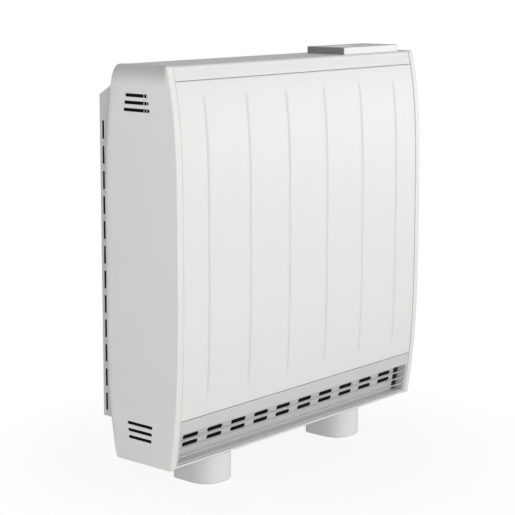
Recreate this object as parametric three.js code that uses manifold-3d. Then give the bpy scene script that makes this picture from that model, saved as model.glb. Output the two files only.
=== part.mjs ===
// Fan-assisted storage heater, in millimetres: X across the front, the front faces -Y, Z up from the floor.
// A bowed steel casing between two end caps stands on two feet and holds an insulated stack of bricks with
// sheathed heating elements. A cross-flow fan below the stack blows through a slotted grille, and a low
// pod on top holds the display and its buttons. The origin is on the floor, under the middle of the casing.
import * as THREE from "three";
import { mergeVertices } from "three/addons/utils/BufferGeometryUtils.js";
import Module from "manifold-3d";

// Casing
const CASING_WIDTH = 660;
const CASING_HEIGHT = 658;
const CASING_DEPTH = 186; // from the middle of the bowed front to the wall
const SHEET = 1.5;
const SEAT = 0.3; // gap between pieces that rest on each other
const FRONT_BOW = 21; // how far the front falls back at its top and bottom edges
const REAR_BOW = 22;
const FRONT_POWER = { above: 4, below: 3 }; // the bow stays flat in the middle and turns at the ends
const REAR_POWER = { above: 3, below: 5 };
const BOW_STEPS = 12;
const CASING_CORNER = 6;
const CROWN_RUN = 18; // the rounder edge between the top and the rear, measured forwards
const CROWN_DROP = 32; // and downwards
const HEAD_FOLD = 25; // how far the top panel reaches down at the front and the rear
const PANEL_JOINT = 1;

// End caps and the frames that they screw to
const CAP_THICKNESS = 12;
const CAP_PROUD = 0.6;
const CAP_WALL = 2;
const CAP_EDGE = 2.5;
const CAP_BOSS_RADIUS = 5;
const CAP_BOSS_RISE = 34; // from the casing's top and bottom edges
const CAP_BOSS_SETBACK = 17; // from the casing's front and rear
const VENT_HEIGHT = 5.5;
const VENT_PITCH = 11.8;
const TOP_VENT_DROP = 49; // from the casing's top to the uppermost slot
const TOP_VENT_LENGTHS = [51, 56, 60];
const BOTTOM_VENT_RISE = 65; // from the casing's bottom to the uppermost slot of the lower group
const BOTTOM_VENT_LENGTHS = [59, 56, 54];
const VENT_SHIFT = 2; // of the slots, towards the front
const FRAME_INSET = 2.5;

// Pressed grooves of the front panel
const GROOVE_COUNT = 6;
const GROOVE_PITCH = 102;
const GROOVE_TOP_MARGIN = 21;
const GROOVE_BOTTOM_MARGIN = 27.5;
const GROOVE_DEPTH = 2;
const GROOVE_HALF = 4;
const GROOVE_FLOOR_HALF = 1;
const GROOVE_FADE = 16;

// Outlet grille
const GRILLE_RISE = 6; // above the casing's bottom edge
const GRILLE_HEIGHT = 75;
const GRILLE_BAND = 22; // plain strip above the mouth
const GRILLE_LIP = 3.3; // plain strip below the mouth
const GRILLE_JOINT = 1.5;
const GRILLE_RECESS = 1;
const GRILLE_WALL = 2;
const GRILLE_DEPTH = 18;
const FIN_COUNT = 3;
const FIN_THICKNESS = 1.8;
const FIN_DEPTH = 3.5;
const BACK_PLATE_INSET = 15; // gap left at each end of the slotted plate
const BACK_PLATE_SHEET = 1.2;
const BACK_PLATE_LAP = 2;
const SLOT_ROWS = 2;
const SLOT_COUNT = 10;
const SLOT_MARGIN = 11; // from the plate's ends to its outer slots
const SLOT_LENGTH = 38;
const SLOT_HEIGHT = 7.3;
const SLOT_DROP = 2.3; // from the top of a fin to the middle of the slots behind it

// Spacer box that stands the casing off the wall
const SPACER_DEPTH = 18.5;
const SPACER_INSET = 10; // from the casing's sides
const SPACER_RISE = 63; // above the casing's bottom edge
const SPACER_DROP = 52; // below the casing's top
const SPACER_SLOPE = 20; // rise of the sloping top, from the wall to the casing
const SPACER_SLOT_COUNT = 12;
const SPACER_SLOT_HEIGHT = 30;
const SPACER_SLOT_WIDTH = 4.6;
const SPACER_SLOT_DROP = 43; // from the box's top to the uppermost slot
const SPACER_SLOT_RISE = 10.2; // from the box's bottom to the lowest slot
const SPACER_SLOT_BACK = 5.4;
const KEYHOLE_INSET = 120; // from the box's sides
const KEYHOLE_DEPTH = 70; // below the box's top
const KEYHOLE_RADIUS = 6;
const KEYHOLE_SLOT = 2.6;
const KEYHOLE_NECK = 14;

// Feet
const FOOT_HEIGHT = 58;
const FOOT_INSET = 150; // from the casing's side to the middle of the foot
const FOOT_SETBACK = 18.4; // behind the casing's front at its bottom edge
const FOOT_WIDTH = 80;
const FOOT_LENGTH = 84;
const FOOT_NOSE = 46; // length of the half-oval front
const FOOT_CORNER = 7;
const FOOT_EDGE = 5; // rounding along the bottom edge
const FOOT_WALL = 4;
const FOOT_SOLE = 6;
const FOOT_BOSS_RADIUS = 8;
const FOOT_SCREW_RADIUS = 2.5;
const FOOT_SCREW_HEAD = { radius: 5, thickness: 2.5 };

// Brick core and its insulation
const CORE_BAY_FRONT = 25.5; // air space between the front panel and the core case
const CORE_BAY_REAR = 24;
const CORE_BAY_SIDE = 42;
const CORE_BAY_TOP = 28.5;
const CORE_SHEET = 1.2;
const INSULATION = 20;
const BRICK_COLUMNS = 2;
const BRICK_ROWS = 2;
const CHANNEL_RADIUS = 4.5;
const CHANNEL_SPACING = 90;
const CHANNEL_SIDES = 10;
const BEND_POCKET = 62;
const ELEMENT_RADIUS = 4;
const ELEMENT_SIDES = 10;
const BEND_STEPS = 10;
const ELEMENT_END = 12; // length of the cold end outside the core case
const ELEMENT_PIN_RADIUS = 1.6;
const ELEMENT_PIN = 6;
const PORT_INSET = 10; // from the fan housing's end plates
const PORT_DEPTH = 19;
const REAR_PORT_MARGIN = 3; // from the rear insulation
const SUPPORT_FLANGE = 18;
const SUPPORT_GAP = 1; // from the right support to the power board

// Fan, air duct and mixing flap
const INTAKE_ROOM = 15; // air space under the fan housing
const INTAKE_HALF = 21;
const FAN_RADIUS = 26;
const FAN_END_GAP = 6; // from the impeller to the housing's end plates
const FAN_GAP = 4;
const FAN_BLADES = 14;
const BLADE_LENGTH = 7;
const BLADE_THICKNESS = 1;
const BLADE_TILT = 0.6;
const DISC_THICKNESS = 1.5;
const SHAFT_RADIUS = 3;
const SHAFT_CLEARANCE = 0.3;
const SHAFT_WAY = 2; // room round the shaft in the motor's end plate
const INLET_COUNT = 7;
const INLET_MARGIN = 22; // from the housing's end plates to the outer inlet slots
const INLET_BRIDGE = 10; // between two inlet slots
const DUCT_GAP = 2; // from the grille's back plate to the mouth of the duct
const DUCT_LENGTH = 65; // from the mouth to the fan's axis
const DUCT_FLOOR_DROP = 2; // duct floor below the impeller
const DUCT_HEADROOM = 9; // duct roof above the impeller
const COLLAR_HEIGHT = 25; // from the duct roof to the core case
const BEARING_RADIUS = 7;
const BEARING_LENGTH = 5;
const BEARING_CAP = 1.5;
const MOTOR_RADIUS = 24;
const MOTOR_LENGTH = 33;
const MOTOR_BORE = 13.5;
const MOTOR_COVER = 3;
const MOTOR_BREATHER = 8;
const MOTOR_ROOM = 24.2; // from the motor to the right core support
const ROTOR_CLEARANCE = 0.5;
const FLAP_REACH = 35; // hinge axis ahead of the fan's axis
const FLAP_DROP = 2.8; // hinge axis below the duct roof
const FLAP_LENGTH = 24;
const FLAP_SHEET = 1.2;
const FLAP_LIP = 2.6;
const FLAP_ROD_RADIUS = 1.8;
const FLAP_ROD_BITE = 10; // length of the rod inside the actuator
const FLAP_END_GAP = 3;
const FLAP_COVER = 3; // how far the flap's front edge reaches past the port
const ACTUATOR = { width: 20, depth: 30, height: 26 };
const ACTUATOR_SOCKET = { width: 6, depth: 16, height: 10 };
const BOOST_REACH = 51; // ahead of the fan's axis
const BOOST_DROP = 12; // below the fan's axis
const BOOST_RADIUS = 4;
const BOOST_FIN_RADIUS = 7;
const BOOST_FIN_THICKNESS = 1;
const BOOST_FINS = 5;

// Wiring bay at the right of the fan
const BAY_GAP = 8; // between the side frame, the terminal block and the power board
const BOARD_WIDTH = 60;
const BOARD_DEPTH = 70;
const BOARD_SETBACK = 19.4; // from the casing's front at the base
const BOARD_THICKNESS = 1.6;
const STANDOFF = 8;
const STANDOFF_RADIUS = 3;
const STANDOFF_INSET = 5;
// What stands on the board, placed from its left front corner.
const RELAY = { x: 6, y: 12, width: 12, depth: 20, height: 16 };
const RELAY_PITCH = 16;
const TRANSFORMER = { x: 8, y: 40, width: 24, depth: 22, height: 20 };
const HEAT_SINK = { x: 40, y: 38, width: 3, depth: 24, height: 24 };
const FUSE = { x: 46, y: 10, width: 8, depth: 20, height: 10 };
const CAPACITOR = { x: 40, y: 20, radius: 5, height: 14 };
const TERMINAL_SETBACK = 22; // behind the front edge of the power board
const TERMINAL_WIDTH = 24;
const TERMINAL_DEPTH = 50;
const TERMINAL_HEIGHT = 22;
const TERMINAL_WAYS = 5;
const TERMINAL_WELL = { radius: 3, depth: 7 };
const GLAND_REACH = 32; // from the terminal block's left side
const GLAND_SETBACK = 18.5; // from the casing's rear at its bottom edge
const GLAND_RADIUS = 9;
const GLAND_FLANGE = { radius: 13, thickness: 3.7 };
const GLAND_BORE = 6;
const GLAND_DROP = 9;
const CUTOUT_RADIUS = 12;
const CUTOUT_HEIGHT = 9;
const CUTOUT_EAR = 12; // reach of the fixing strap past the body
const CUTOUT_EAR_HALF = 8;
const CUTOUT_BLADE = { width: 8, thickness: 2, reach: 8 };
const RESET_RADIUS = 3;
const RESET_WELL = 6; // depth of the pin's bore
const RESET_PROUD = 3;
const RESET_TRAVEL = 1.5;

// Control pod
const POD_INSET = 37; // from the casing's right side
const POD_SETBACK = 5.4; // from the casing's front at its top edge
const POD_WIDTH = 166;
const POD_DEPTH = 84;
const POD_HEIGHT = 12.5;
const POD_WALL = 2;
const POD_CORNER = 3;
const POD_INTAKE = { inset: 12, edge: 4 }; // opening in the pod's left wall, behind the louvre
const LOUVRE_THICKNESS = 1.6;
const LOUVRE_LINES = 4;
const LOUVRE_LINE = { depth: 0.8, width: 1.2, inset: 3 };
const WINDOW = { x: 12, y: 20, width: 62, depth: 38, thickness: 1.2, lip: 2 };
const WIRE_WAY = { x: 30, y: 36, width: 76, depth: 16 }; // hole for the pod's wires in the top panel
const CONTROL_BOARD_THICKNESS = 1.6;
const CONTROL_BOARD_LIFT = 1.5;
const CONTROL_BOARD_INSET = 7;
const BOARD_BOSS = { inset: 4, radius: 2.5 };
const BOARD_SOCKET = { width: 12, depth: 8, drop: 6 };
const DISPLAY_HEIGHT = 5;
const DISPLAY_INSET = 1;
const BUTTON_NAMES = ["power", "menu", "back", "up", "down"];
const BUTTON_COLUMNS = 3;
const BUTTON_PITCH = 20;
const BUTTON_RADIUS = 6;
const BUTTON_FIRST = { x: 96, y: 27 }; // first button's centre from the pod's left front corner
const BUTTON_PROUD = 0.6;
const BUTTON_TRAVEL = 0.6;
const BUTTON_FLANGE = { reach: 1.2, thickness: 1 };
const SWITCH_SIZE = 6;
const SENSOR = { inset: 3, radius: 1.5, height: 4, foot: 1 };

const BITE = 0.5; // overlap of two solids that are joined into one
const PAST = 1; // how far a cutting tool runs past what it cuts

// Places worked out from the sizes above
const HALF = CASING_WIDTH / 2;
const CASING_BOTTOM = FOOT_HEIGHT;
const CASING_TOP = CASING_BOTTOM + CASING_HEIGHT;
const FLOOR_Z = CASING_BOTTOM + SHEET; // upper face of the base panel
const PANEL_HALF = HALF - CAP_THICKNESS - SEAT;
const CAP_INNER = HALF - CAP_THICKNESS;
const FRAME_OUTER = CAP_INNER - FRAME_INSET;
const FRAME_INNER = FRAME_OUTER - SHEET;
const FRONT_Y = CAP_PROUD - CASING_DEPTH / 2;
const WALL_Y = CASING_DEPTH / 2;
const REAR_Y = WALL_Y - SPACER_DEPTH;
const BOW_MIDDLE = (CASING_TOP + CASING_BOTTOM) / 2;
const BOW_REACH = (CASING_TOP - CASING_BOTTOM) / 2;

const GRILLE_HALF = FRAME_INNER - SEAT;
const GRILLE_BOTTOM = CASING_BOTTOM + GRILLE_RISE;
const GRILLE_TOP = GRILLE_BOTTOM + GRILLE_HEIGHT;
const MOUTH_BOTTOM = GRILLE_BOTTOM + GRILLE_LIP;
const MOUTH_TOP = GRILLE_TOP - GRILLE_BAND;
const BACK_PLATE_FROM = GRILLE_RECESS + GRILLE_DEPTH + SEAT;
const PANEL_BOTTOM = GRILLE_TOP + GRILLE_JOINT;
const PANEL_TOP = CASING_TOP - HEAD_FOLD;
const GROOVE_BOTTOM = PANEL_BOTTOM + GROOVE_BOTTOM_MARGIN;
const GROOVE_TOP = PANEL_TOP - GROOVE_TOP_MARGIN;
const SPACER_HALF = HALF - SPACER_INSET;
const SPACER_BOTTOM = CASING_BOTTOM + SPACER_RISE;
const SPACER_TOP = CASING_TOP - SPACER_DROP;
const FOOT_X = HALF - FOOT_INSET;
const FOOT_FRONT = frontAt(CASING_BOTTOM) + FOOT_SETBACK;
const FOOT_BACK = FOOT_FRONT + FOOT_LENGTH;
const FOOT_SCREW_Y = (FOOT_FRONT + FOOT_BACK) / 2;

const PLATE_FOOT_Y = frontAt(MOUTH_BOTTOM - BACK_PLATE_LAP) + BACK_PLATE_FROM + BACK_PLATE_SHEET;
const DUCT_FRONT = PLATE_FOOT_Y + DUCT_GAP;
const FAN_Y = DUCT_FRONT + DUCT_LENGTH;
const FAN_Z = FLOOR_Z + INTAKE_ROOM + SHEET + FAN_GAP + FAN_RADIUS;
const DUCT_BOTTOM = FAN_Z - FAN_RADIUS - DUCT_FLOOR_DROP;
const DUCT_TOP = FAN_Z + FAN_RADIUS + DUCT_HEADROOM;
const FLAP_Y = FAN_Y - FLAP_REACH;
const FLAP_Z = DUCT_TOP - FLAP_DROP;
const BOOST_Y = FAN_Y - BOOST_REACH;
const BOOST_Z = FAN_Z - BOOST_DROP;
const FRONT_PORT_Y = FLAP_Y - FLAP_LENGTH + FLAP_COVER;
const CORE = {
  x0: CORE_BAY_SIDE - HALF,
  x1: HALF - CORE_BAY_SIDE,
  y0: FRONT_Y + SHEET + CORE_BAY_FRONT,
  y1: REAR_Y - SHEET - CORE_BAY_REAR,
  z0: DUCT_TOP + COLLAR_HEIGHT,
  z1: CASING_TOP - SHEET - CORE_BAY_TOP,
};
const REAR_PORT_Y = CORE.y1 - CORE_SHEET - INSULATION - 2 * SEAT - REAR_PORT_MARGIN - PORT_DEPTH;

const TERMINAL_X = FRAME_INNER - BAY_GAP - TERMINAL_WIDTH;
const BOARD_X = TERMINAL_X - BAY_GAP - BOARD_WIDTH;
const BOARD_Y = frontAt(CASING_BOTTOM) + BOARD_SETBACK;
const TERMINAL_Y = BOARD_Y + TERMINAL_SETBACK;
const GLAND_X = TERMINAL_X - GLAND_REACH;
const GLAND_Y = rearAt(CASING_BOTTOM) - GLAND_SETBACK;
const SUPPORT_X = BOARD_X - SUPPORT_GAP - SUPPORT_FLANGE;
const HOUSING_HALF = SUPPORT_X - MOTOR_ROOM - MOTOR_LENGTH - SEAT - SHEET;
const INLET_ROW = 2 * (HOUSING_HALF - INLET_MARGIN);
const INLET_LENGTH = (INLET_ROW - (INLET_COUNT - 1) * INLET_BRIDGE) / INLET_COUNT;
const FAN_HALF = HOUSING_HALF - FAN_END_GAP;
const PORT_HALF = HOUSING_HALF - PORT_INSET;
const CUTOUT_Z = (CORE.z0 + CORE.z1) / 2;

const POD = {
  x0: HALF - POD_INSET - POD_WIDTH,
  x1: HALF - POD_INSET,
  y0: frontAt(CASING_TOP) + POD_SETBACK,
  y1: frontAt(CASING_TOP) + POD_SETBACK + POD_DEPTH,
  z0: CASING_TOP,
  z1: CASING_TOP + POD_HEIGHT,
};
const BOARD_FACE = POD.z0 + CONTROL_BOARD_LIFT + CONTROL_BOARD_THICKNESS;
const BUTTON_FOOT = POD.z1 - POD_WALL - SEAT - BUTTON_FLANGE.thickness; // a button's underside at rest
const WINDOW_BOX = {
  x0: POD.x0 + WINDOW.x,
  x1: POD.x0 + WINDOW.x + WINDOW.width,
  y0: POD.y0 + WINDOW.y,
  y1: POD.y0 + WINDOW.y + WINDOW.depth,
};

const wasm = await Module();
wasm.setup();

// ---------------------------------------------------------------- shapes and solids

// A closed geometry as a solid that can be joined and cut.
function solidOf(geometry) {
  const bare = geometry.index ? geometry.toNonIndexed() : geometry.clone();
  bare.deleteAttribute("normal");
  bare.deleteAttribute("uv");
  const merged = mergeVertices(bare, 1e-4);
  const vertProperties = merged.attributes.position.array;
  const triVerts = new Uint32Array(merged.index.array);
  return new wasm.Manifold(new wasm.Mesh({ numProp: 3, vertProperties, triVerts }));
}

// A solid back as flat-shaded triangles.
function geometryOf(solid) {
  const { vertProperties, triVerts } = solid.getMesh();
  const indexed = new THREE.BufferGeometry();
  indexed.setAttribute("position", new THREE.BufferAttribute(vertProperties, 3));
  indexed.setIndex(new THREE.BufferAttribute(triVerts, 1));
  const geometry = indexed.toNonIndexed();
  geometry.computeVertexNormals();
  return geometry;
}

function join(...solids) {
  return solids.reduce((whole, solid) => whole.add(solid));
}

function cut(solid, ...tools) {
  return tools.reduce((rest, tool) => rest.subtract(tool), solid);
}

// A box between two corners.
function slab(x0, x1, y0, y1, z0, z1) {
  const geometry = new THREE.BoxGeometry(x1 - x0, y1 - y0, z1 - z0);
  geometry.translate((x0 + x1) / 2, (y0 + y1) / 2, (z0 + z1) / 2);
  return solidOf(geometry);
}

function extruded(shape, length, curveSegments) {
  return new THREE.ExtrudeGeometry(shape, { depth: length, bevelEnabled: false, curveSegments });
}

// A shape drawn in (Y, Z) and carried along X.
function alongX(shape, x0, x1, curveSegments = 5) {
  const geometry = extruded(shape, x1 - x0, curveSegments);
  const turn = new THREE.Matrix4().makeBasis(
    new THREE.Vector3(0, 1, 0),
    new THREE.Vector3(0, 0, 1),
    new THREE.Vector3(1, 0, 0),
  );
  geometry.applyMatrix4(turn);
  geometry.translate(x0, 0, 0);
  return solidOf(geometry);
}

// A shape drawn in (X, Z) and carried along Y.
function alongY(shape, y0, y1, curveSegments = 5) {
  const geometry = extruded(shape, y1 - y0, curveSegments);
  geometry.rotateX(Math.PI / 2);
  geometry.translate(0, y1, 0);
  return solidOf(geometry);
}

// A shape drawn in (X, Y) and carried along Z.
function alongZ(shape, z0, z1, curveSegments = 5) {
  const geometry = extruded(shape, z1 - z0, curveSegments);
  geometry.translate(0, 0, z0);
  return solidOf(geometry);
}

// Round rods along each axis, given the two coordinates of their centre line.
function rodX(radius, x0, x1, y, z, sides = 16) {
  const geometry = new THREE.CylinderGeometry(radius, radius, x1 - x0, sides);
  geometry.rotateZ(-Math.PI / 2);
  geometry.translate((x0 + x1) / 2, y, z);
  return solidOf(geometry);
}

function rodZ(radius, z0, z1, x, y, sides = 16) {
  const geometry = new THREE.CylinderGeometry(radius, radius, z1 - z0, sides);
  geometry.rotateX(Math.PI / 2);
  geometry.translate(x, y, (z0 + z1) / 2);
  return solidOf(geometry);
}

function outline(points) {
  return new THREE.Shape(points.map(([a, b]) => new THREE.Vector2(a, b)));
}

// A slot with round ends, lying along the shape's first axis.
function obround(a, b, length, height) {
  const radius = height / 2;
  const reach = length / 2 - radius;
  const shape = new THREE.Shape();
  shape.absarc(a + reach, b, radius, -Math.PI / 2, Math.PI / 2);
  shape.absarc(a - reach, b, radius, Math.PI / 2, (3 * Math.PI) / 2);
  return shape;
}

function roundedRect(a0, a1, b0, b1, radius) {
  const shape = new THREE.Shape();
  shape.absarc(a1 - radius, b0 + radius, radius, -Math.PI / 2, 0);
  shape.absarc(a1 - radius, b1 - radius, radius, 0, Math.PI / 2);
  shape.absarc(a0 + radius, b1 - radius, radius, Math.PI / 2, Math.PI);
  shape.absarc(a0 + radius, b0 + radius, radius, Math.PI, (3 * Math.PI) / 2);
  return shape;
}

// Rings of points, one above the other, joined into a closed skin. Each ring has as many points.
function loft(rings) {
  const positions = [];
  const count = rings[0].length;
  const triangle = (a, b, c) => positions.push(...a, ...b, ...c);
  for (let level = 0; level + 1 < rings.length; level += 1) {
    for (let i = 0; i < count; i += 1) {
      const next = (i + 1) % count;
      const [low, high] = [rings[level], rings[level + 1]];
      triangle(low[i], low[next], high[next]);
      triangle(low[i], high[next], high[i]);
    }
  }
  const top = rings[rings.length - 1];
  for (let i = 1; i + 1 < count; i += 1) {
    triangle(rings[0][0], rings[0][i + 1], rings[0][i]);
    triangle(top[0], top[i], top[i + 1]);
  }
  const geometry = new THREE.BufferGeometry();
  geometry.setAttribute("position", new THREE.Float32BufferAttribute(positions, 3));
  return solidOf(geometry);
}

// ---------------------------------------------------------------- the casing's bowed section

// Share of the bow reached at height z: 0 in the middle, 1 at the top and bottom edges.
function bowShare(z, power) {
  const t = (z - BOW_MIDDLE) / BOW_REACH;
  return Math.abs(t) ** (t > 0 ? power.above : power.below);
}

function frontAt(z) {
  return FRONT_Y + FRONT_BOW * bowShare(z, FRONT_POWER);
}

function rearAt(z) {
  return REAR_Y - REAR_BOW * bowShare(z, REAR_POWER);
}

// Heights from low to high, both ends included.
function heights(low, high, steps) {
  return Array.from({ length: steps + 1 }, (_, i) => low + ((high - low) * i) / steps);
}

// The casing's outline in (Y, Z), grown outwards by a margin, or drawn in by a negative one.
function casingSection(grow) {
  const low = CASING_BOTTOM - grow;
  const high = CASING_TOP + grow;
  const corner = CASING_CORNER + grow;
  const frontLevels = heights(low + corner, high - corner, BOW_STEPS);
  const rearLevels = heights(low + corner, CASING_TOP - CROWN_DROP, BOW_STEPS);
  const front = frontLevels.map((z) => [frontAt(z) - grow, z]).reverse();
  const rear = rearLevels.map((z) => [rearAt(z) + grow, z]);
  const shape = new THREE.Shape();
  shape.moveTo(...front[0]);
  front.slice(1).forEach(([y, z]) => shape.lineTo(y, z));
  const [frontFoot, rearFoot] = [front[front.length - 1], rear[0]];
  shape.quadraticCurveTo(frontFoot[0], low, frontFoot[0] + corner, low);
  shape.lineTo(rearFoot[0] - corner, low);
  shape.quadraticCurveTo(rearFoot[0], low, ...rearFoot);
  rear.slice(1).forEach(([y, z]) => shape.lineTo(y, z));
  const crown = rearAt(CASING_TOP);
  const frontHead = front[0];
  shape.quadraticCurveTo(crown + grow, high, crown - CROWN_RUN, high);
  shape.lineTo(frontHead[0] + corner, high);
  shape.quadraticCurveTo(frontHead[0], high, ...frontHead);
  return shape;
}

// The casing's sheet as one closed sleeve, from which the top, rear and base panels are taken.
function casingSleeve() {
  const outer = alongX(casingSection(0), -PANEL_HALF, PANEL_HALF);
  const inner = alongX(casingSection(-SHEET), -HALF, HALF);
  return cut(outer, inner);
}

// A band that follows the front's bow between two distances behind it.
function frontBand(z0, z1, from, to, x0, x1, steps = 4) {
  const levels = heights(z0, z1, steps);
  const outer = levels.map((z) => [frontAt(z) + from, z]);
  const inner = levels.map((z) => [frontAt(z) + to, z]).reverse();
  return alongX(outline([...outer, ...inner]), x0, x1);
}

// ---------------------------------------------------------------- casing pieces

// Front panel: one bowed sheet with upright pressed grooves that fade out at both ends.
function frontPanel() {
  const middle = (GROOVE_COUNT - 1) / 2;
  const columns = [[-PANEL_HALF, 0]];
  for (let i = 0; i < GROOVE_COUNT; i += 1) {
    const x = (i - middle) * GROOVE_PITCH;
    columns.push([x - GROOVE_HALF, 0], [x - GROOVE_FLOOR_HALF, 1]);
    columns.push([x + GROOVE_FLOOR_HALF, 1], [x + GROOVE_HALF, 0]);
  }
  columns.push([PANEL_HALF, 0]);
  const fade = [GROOVE_BOTTOM, GROOVE_BOTTOM + GROOVE_FADE, GROOVE_TOP - GROOVE_FADE, GROOVE_TOP];
  const rows = [...heights(PANEL_BOTTOM, PANEL_TOP, BOW_STEPS), ...fade].sort((a, b) => a - b);
  const depthAt = (z) => {
    const inside = Math.min(z - GROOVE_BOTTOM, GROOVE_TOP - z) / GROOVE_FADE;
    return GROOVE_DEPTH * Math.min(Math.max(inside, 0), 1);
  };
  const levels = rows.filter((z, i) => i === 0 || z - rows[i - 1] > 1);
  const rings = levels.map((z) => {
    const face = columns.map(([x, share]) => [x, frontAt(z) + share * depthAt(z), z]);
    const back = face.map(([x, y]) => [x, y + SHEET, z]).reverse();
    return [...face, ...back];
  });
  return stripLoft(rings);
}

// A loft whose ends are flat strips: point i of a ring faces point count - 1 - i.
function stripLoft(rings) {
  const positions = [];
  const count = rings[0].length;
  const quad = (a, b, c, d) => positions.push(...a, ...b, ...c, ...a, ...c, ...d);
  for (let level = 0; level + 1 < rings.length; level += 1) {
    const [low, high] = [rings[level], rings[level + 1]];
    for (let i = 0; i < count; i += 1) {
      const next = (i + 1) % count;
      quad(low[i], low[next], high[next], high[i]);
    }
  }
  const [bottom, top] = [rings[0], rings[rings.length - 1]];
  for (let i = 0; i + 1 < count / 2; i += 1) {
    const across = count - 1 - i;
    quad(bottom[i], bottom[across], bottom[across - 1], bottom[i + 1]);
    quad(top[i], top[i + 1], top[across - 1], top[across]);
  }
  const geometry = new THREE.BufferGeometry();
  geometry.setAttribute("position", new THREE.Float32BufferAttribute(positions, 3));
  return solidOf(geometry);
}

// Top panel: folded down at the front to the panel joint, and at the rear.
function topPanel() {
  const head = slab(-HALF, HALF, -WALL_Y, WALL_Y, PANEL_TOP + PANEL_JOINT, CASING_TOP + SHEET);
  const wires = slab(
    POD.x0 + WIRE_WAY.x, POD.x0 + WIRE_WAY.x + WIRE_WAY.width,
    POD.y0 + WIRE_WAY.y, POD.y0 + WIRE_WAY.y + WIRE_WAY.depth,
    CASING_TOP - 2 * SHEET, CASING_TOP + SHEET,
  );
  return cut(casingSleeve().intersect(head), wires);
}

function rearPanel() {
  const low = CASING_BOTTOM + CASING_CORNER + PANEL_JOINT;
  return casingSleeve().intersect(slab(-HALF, HALF, 0, WALL_Y, low, PANEL_TOP));
}

// Base panel: a shallow tray with the cable hole, the foot screw holes and an air inlet row.
function basePanel() {
  const tray = slab(-HALF, HALF, -WALL_Y, WALL_Y, 0, CASING_BOTTOM + CASING_CORNER - SEAT);
  const tools = [rodZ(GLAND_RADIUS + SEAT, 0, FLOOR_Z + SHEET, GLAND_X, GLAND_Y)];
  for (const side of [-1, 1]) {
    const x = side * FOOT_X;
    tools.push(rodZ(FOOT_SCREW_RADIUS + SEAT, 0, FLOOR_Z + SHEET, x, FOOT_SCREW_Y, 12));
  }
  const inletReach = (INLET_ROW - INLET_LENGTH) / 2;
  for (const x of heights(-inletReach, inletReach, INLET_COUNT - 1)) {
    const slot = obround(x, FAN_Y + FAN_RADIUS / 2, INLET_LENGTH, VENT_HEIGHT);
    tools.push(alongZ(slot, 0, FLOOR_Z + SHEET, 3));
  }
  return cut(casingSleeve().intersect(tray), ...tools);
}

// The vent rows of one side as cutting tools between two planes of X.
function ventTools(x0, x1) {
  const rows = (lengths, z) => lengths.map((length, i) => [length, z - i * VENT_PITCH]);
  const all = [
    ...rows(TOP_VENT_LENGTHS, CASING_TOP - TOP_VENT_DROP),
    ...rows(BOTTOM_VENT_LENGTHS, CASING_BOTTOM + BOTTOM_VENT_RISE),
  ];
  return all.map(([length, z]) => alongX(obround(-VENT_SHIFT, z, length, VENT_HEIGHT), x0, x1, 3));
}

// The four places where an end cap's bosses meet its frame, as [Y, Z].
function capBosses() {
  const levels = [CASING_BOTTOM + CAP_BOSS_RISE, CASING_TOP - CAP_BOSS_RISE];
  return levels.flatMap((z) => [
    [frontAt(z) + CAP_BOSS_SETBACK, z],
    [rearAt(z) - CAP_BOSS_SETBACK, z],
  ]);
}

// Right end cap: a shallow moulded cover with a rim, vent slots and four screw bosses.
function endCap() {
  const skin = alongX(casingSection(CAP_PROUD), CAP_INNER, HALF - CAP_EDGE);
  const edge = loftedEdge();
  const hollow = alongX(casingSection(-CAP_WALL), CAP_INNER - SEAT, HALF - CAP_WALL);
  const shell = cut(join(skin, edge), hollow);
  const bosses = capBosses().map(([y, z]) =>
    rodX(CAP_BOSS_RADIUS, FRAME_OUTER + SEAT, HALF - CAP_WALL / 2, y, z, 12),
  );
  return cut(join(shell, ...bosses), ...ventTools(HALF - 2 * CAP_WALL, HALF + PAST));
}

// The cap's outer edge, drawn in by its bevel towards the side face.
function loftedEdge() {
  const ring = (grow, x) => {
    const points = casingSection(grow).extractPoints(5).shape;
    return points.map((point) => [x, point.x, point.y]);
  };
  const seam = HALF - CAP_EDGE;
  const middle = HALF - CAP_EDGE / 3;
  return loft([
    ring(CAP_PROUD, seam),
    ring(CAP_PROUD - CAP_EDGE / 3, middle),
    ring(CAP_PROUD - CAP_EDGE, HALF),
  ]);
}

// Right side frame: the steel plate between the core bay and the end cap, with the same vents.
function sideFrame() {
  const plate = alongX(casingSection(-SHEET - SEAT), FRAME_INNER, FRAME_OUTER);
  return cut(plate, ...ventTools(FRAME_INNER - PAST, FRAME_OUTER + PAST));
}

// Outlet grille: band and lip in the bow of the front, fins between two end walls.
function outletGrille() {
  const front = GRILLE_RECESS;
  const back = GRILLE_RECESS + GRILLE_DEPTH;
  const wall = front + GRILLE_WALL;
  const half = GRILLE_HALF;
  const inner = half - GRILLE_WALL;
  const parts = [
    frontBand(MOUTH_TOP, GRILLE_TOP, front, wall, -half, half),
    frontBand(GRILLE_BOTTOM, MOUTH_BOTTOM, front, wall, -half, half),
    frontBand(MOUTH_TOP, MOUTH_TOP + GRILLE_WALL, front, back, -half, half, 1),
    frontBand(MOUTH_BOTTOM - GRILLE_WALL, MOUTH_BOTTOM, front, back, -half, half, 1),
    frontBand(GRILLE_BOTTOM, GRILLE_TOP, front, back, -half, -inner),
    frontBand(GRILLE_BOTTOM, GRILLE_TOP, front, back, inner, half),
  ];
  for (const z of finLevels()) {
    parts.push(frontBand(z - FIN_THICKNESS, z, front, front + FIN_DEPTH, -inner - PAST, inner + PAST, 1));
  }
  return join(...parts);
}

// Upper faces of the fins, evenly spaced down the mouth.
function finLevels() {
  const gap = (MOUTH_TOP - MOUTH_BOTTOM - FIN_COUNT * FIN_THICKNESS) / (FIN_COUNT + 1);
  return Array.from({ length: FIN_COUNT }, (_, i) => MOUTH_TOP - gap - i * (gap + FIN_THICKNESS));
}

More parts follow.
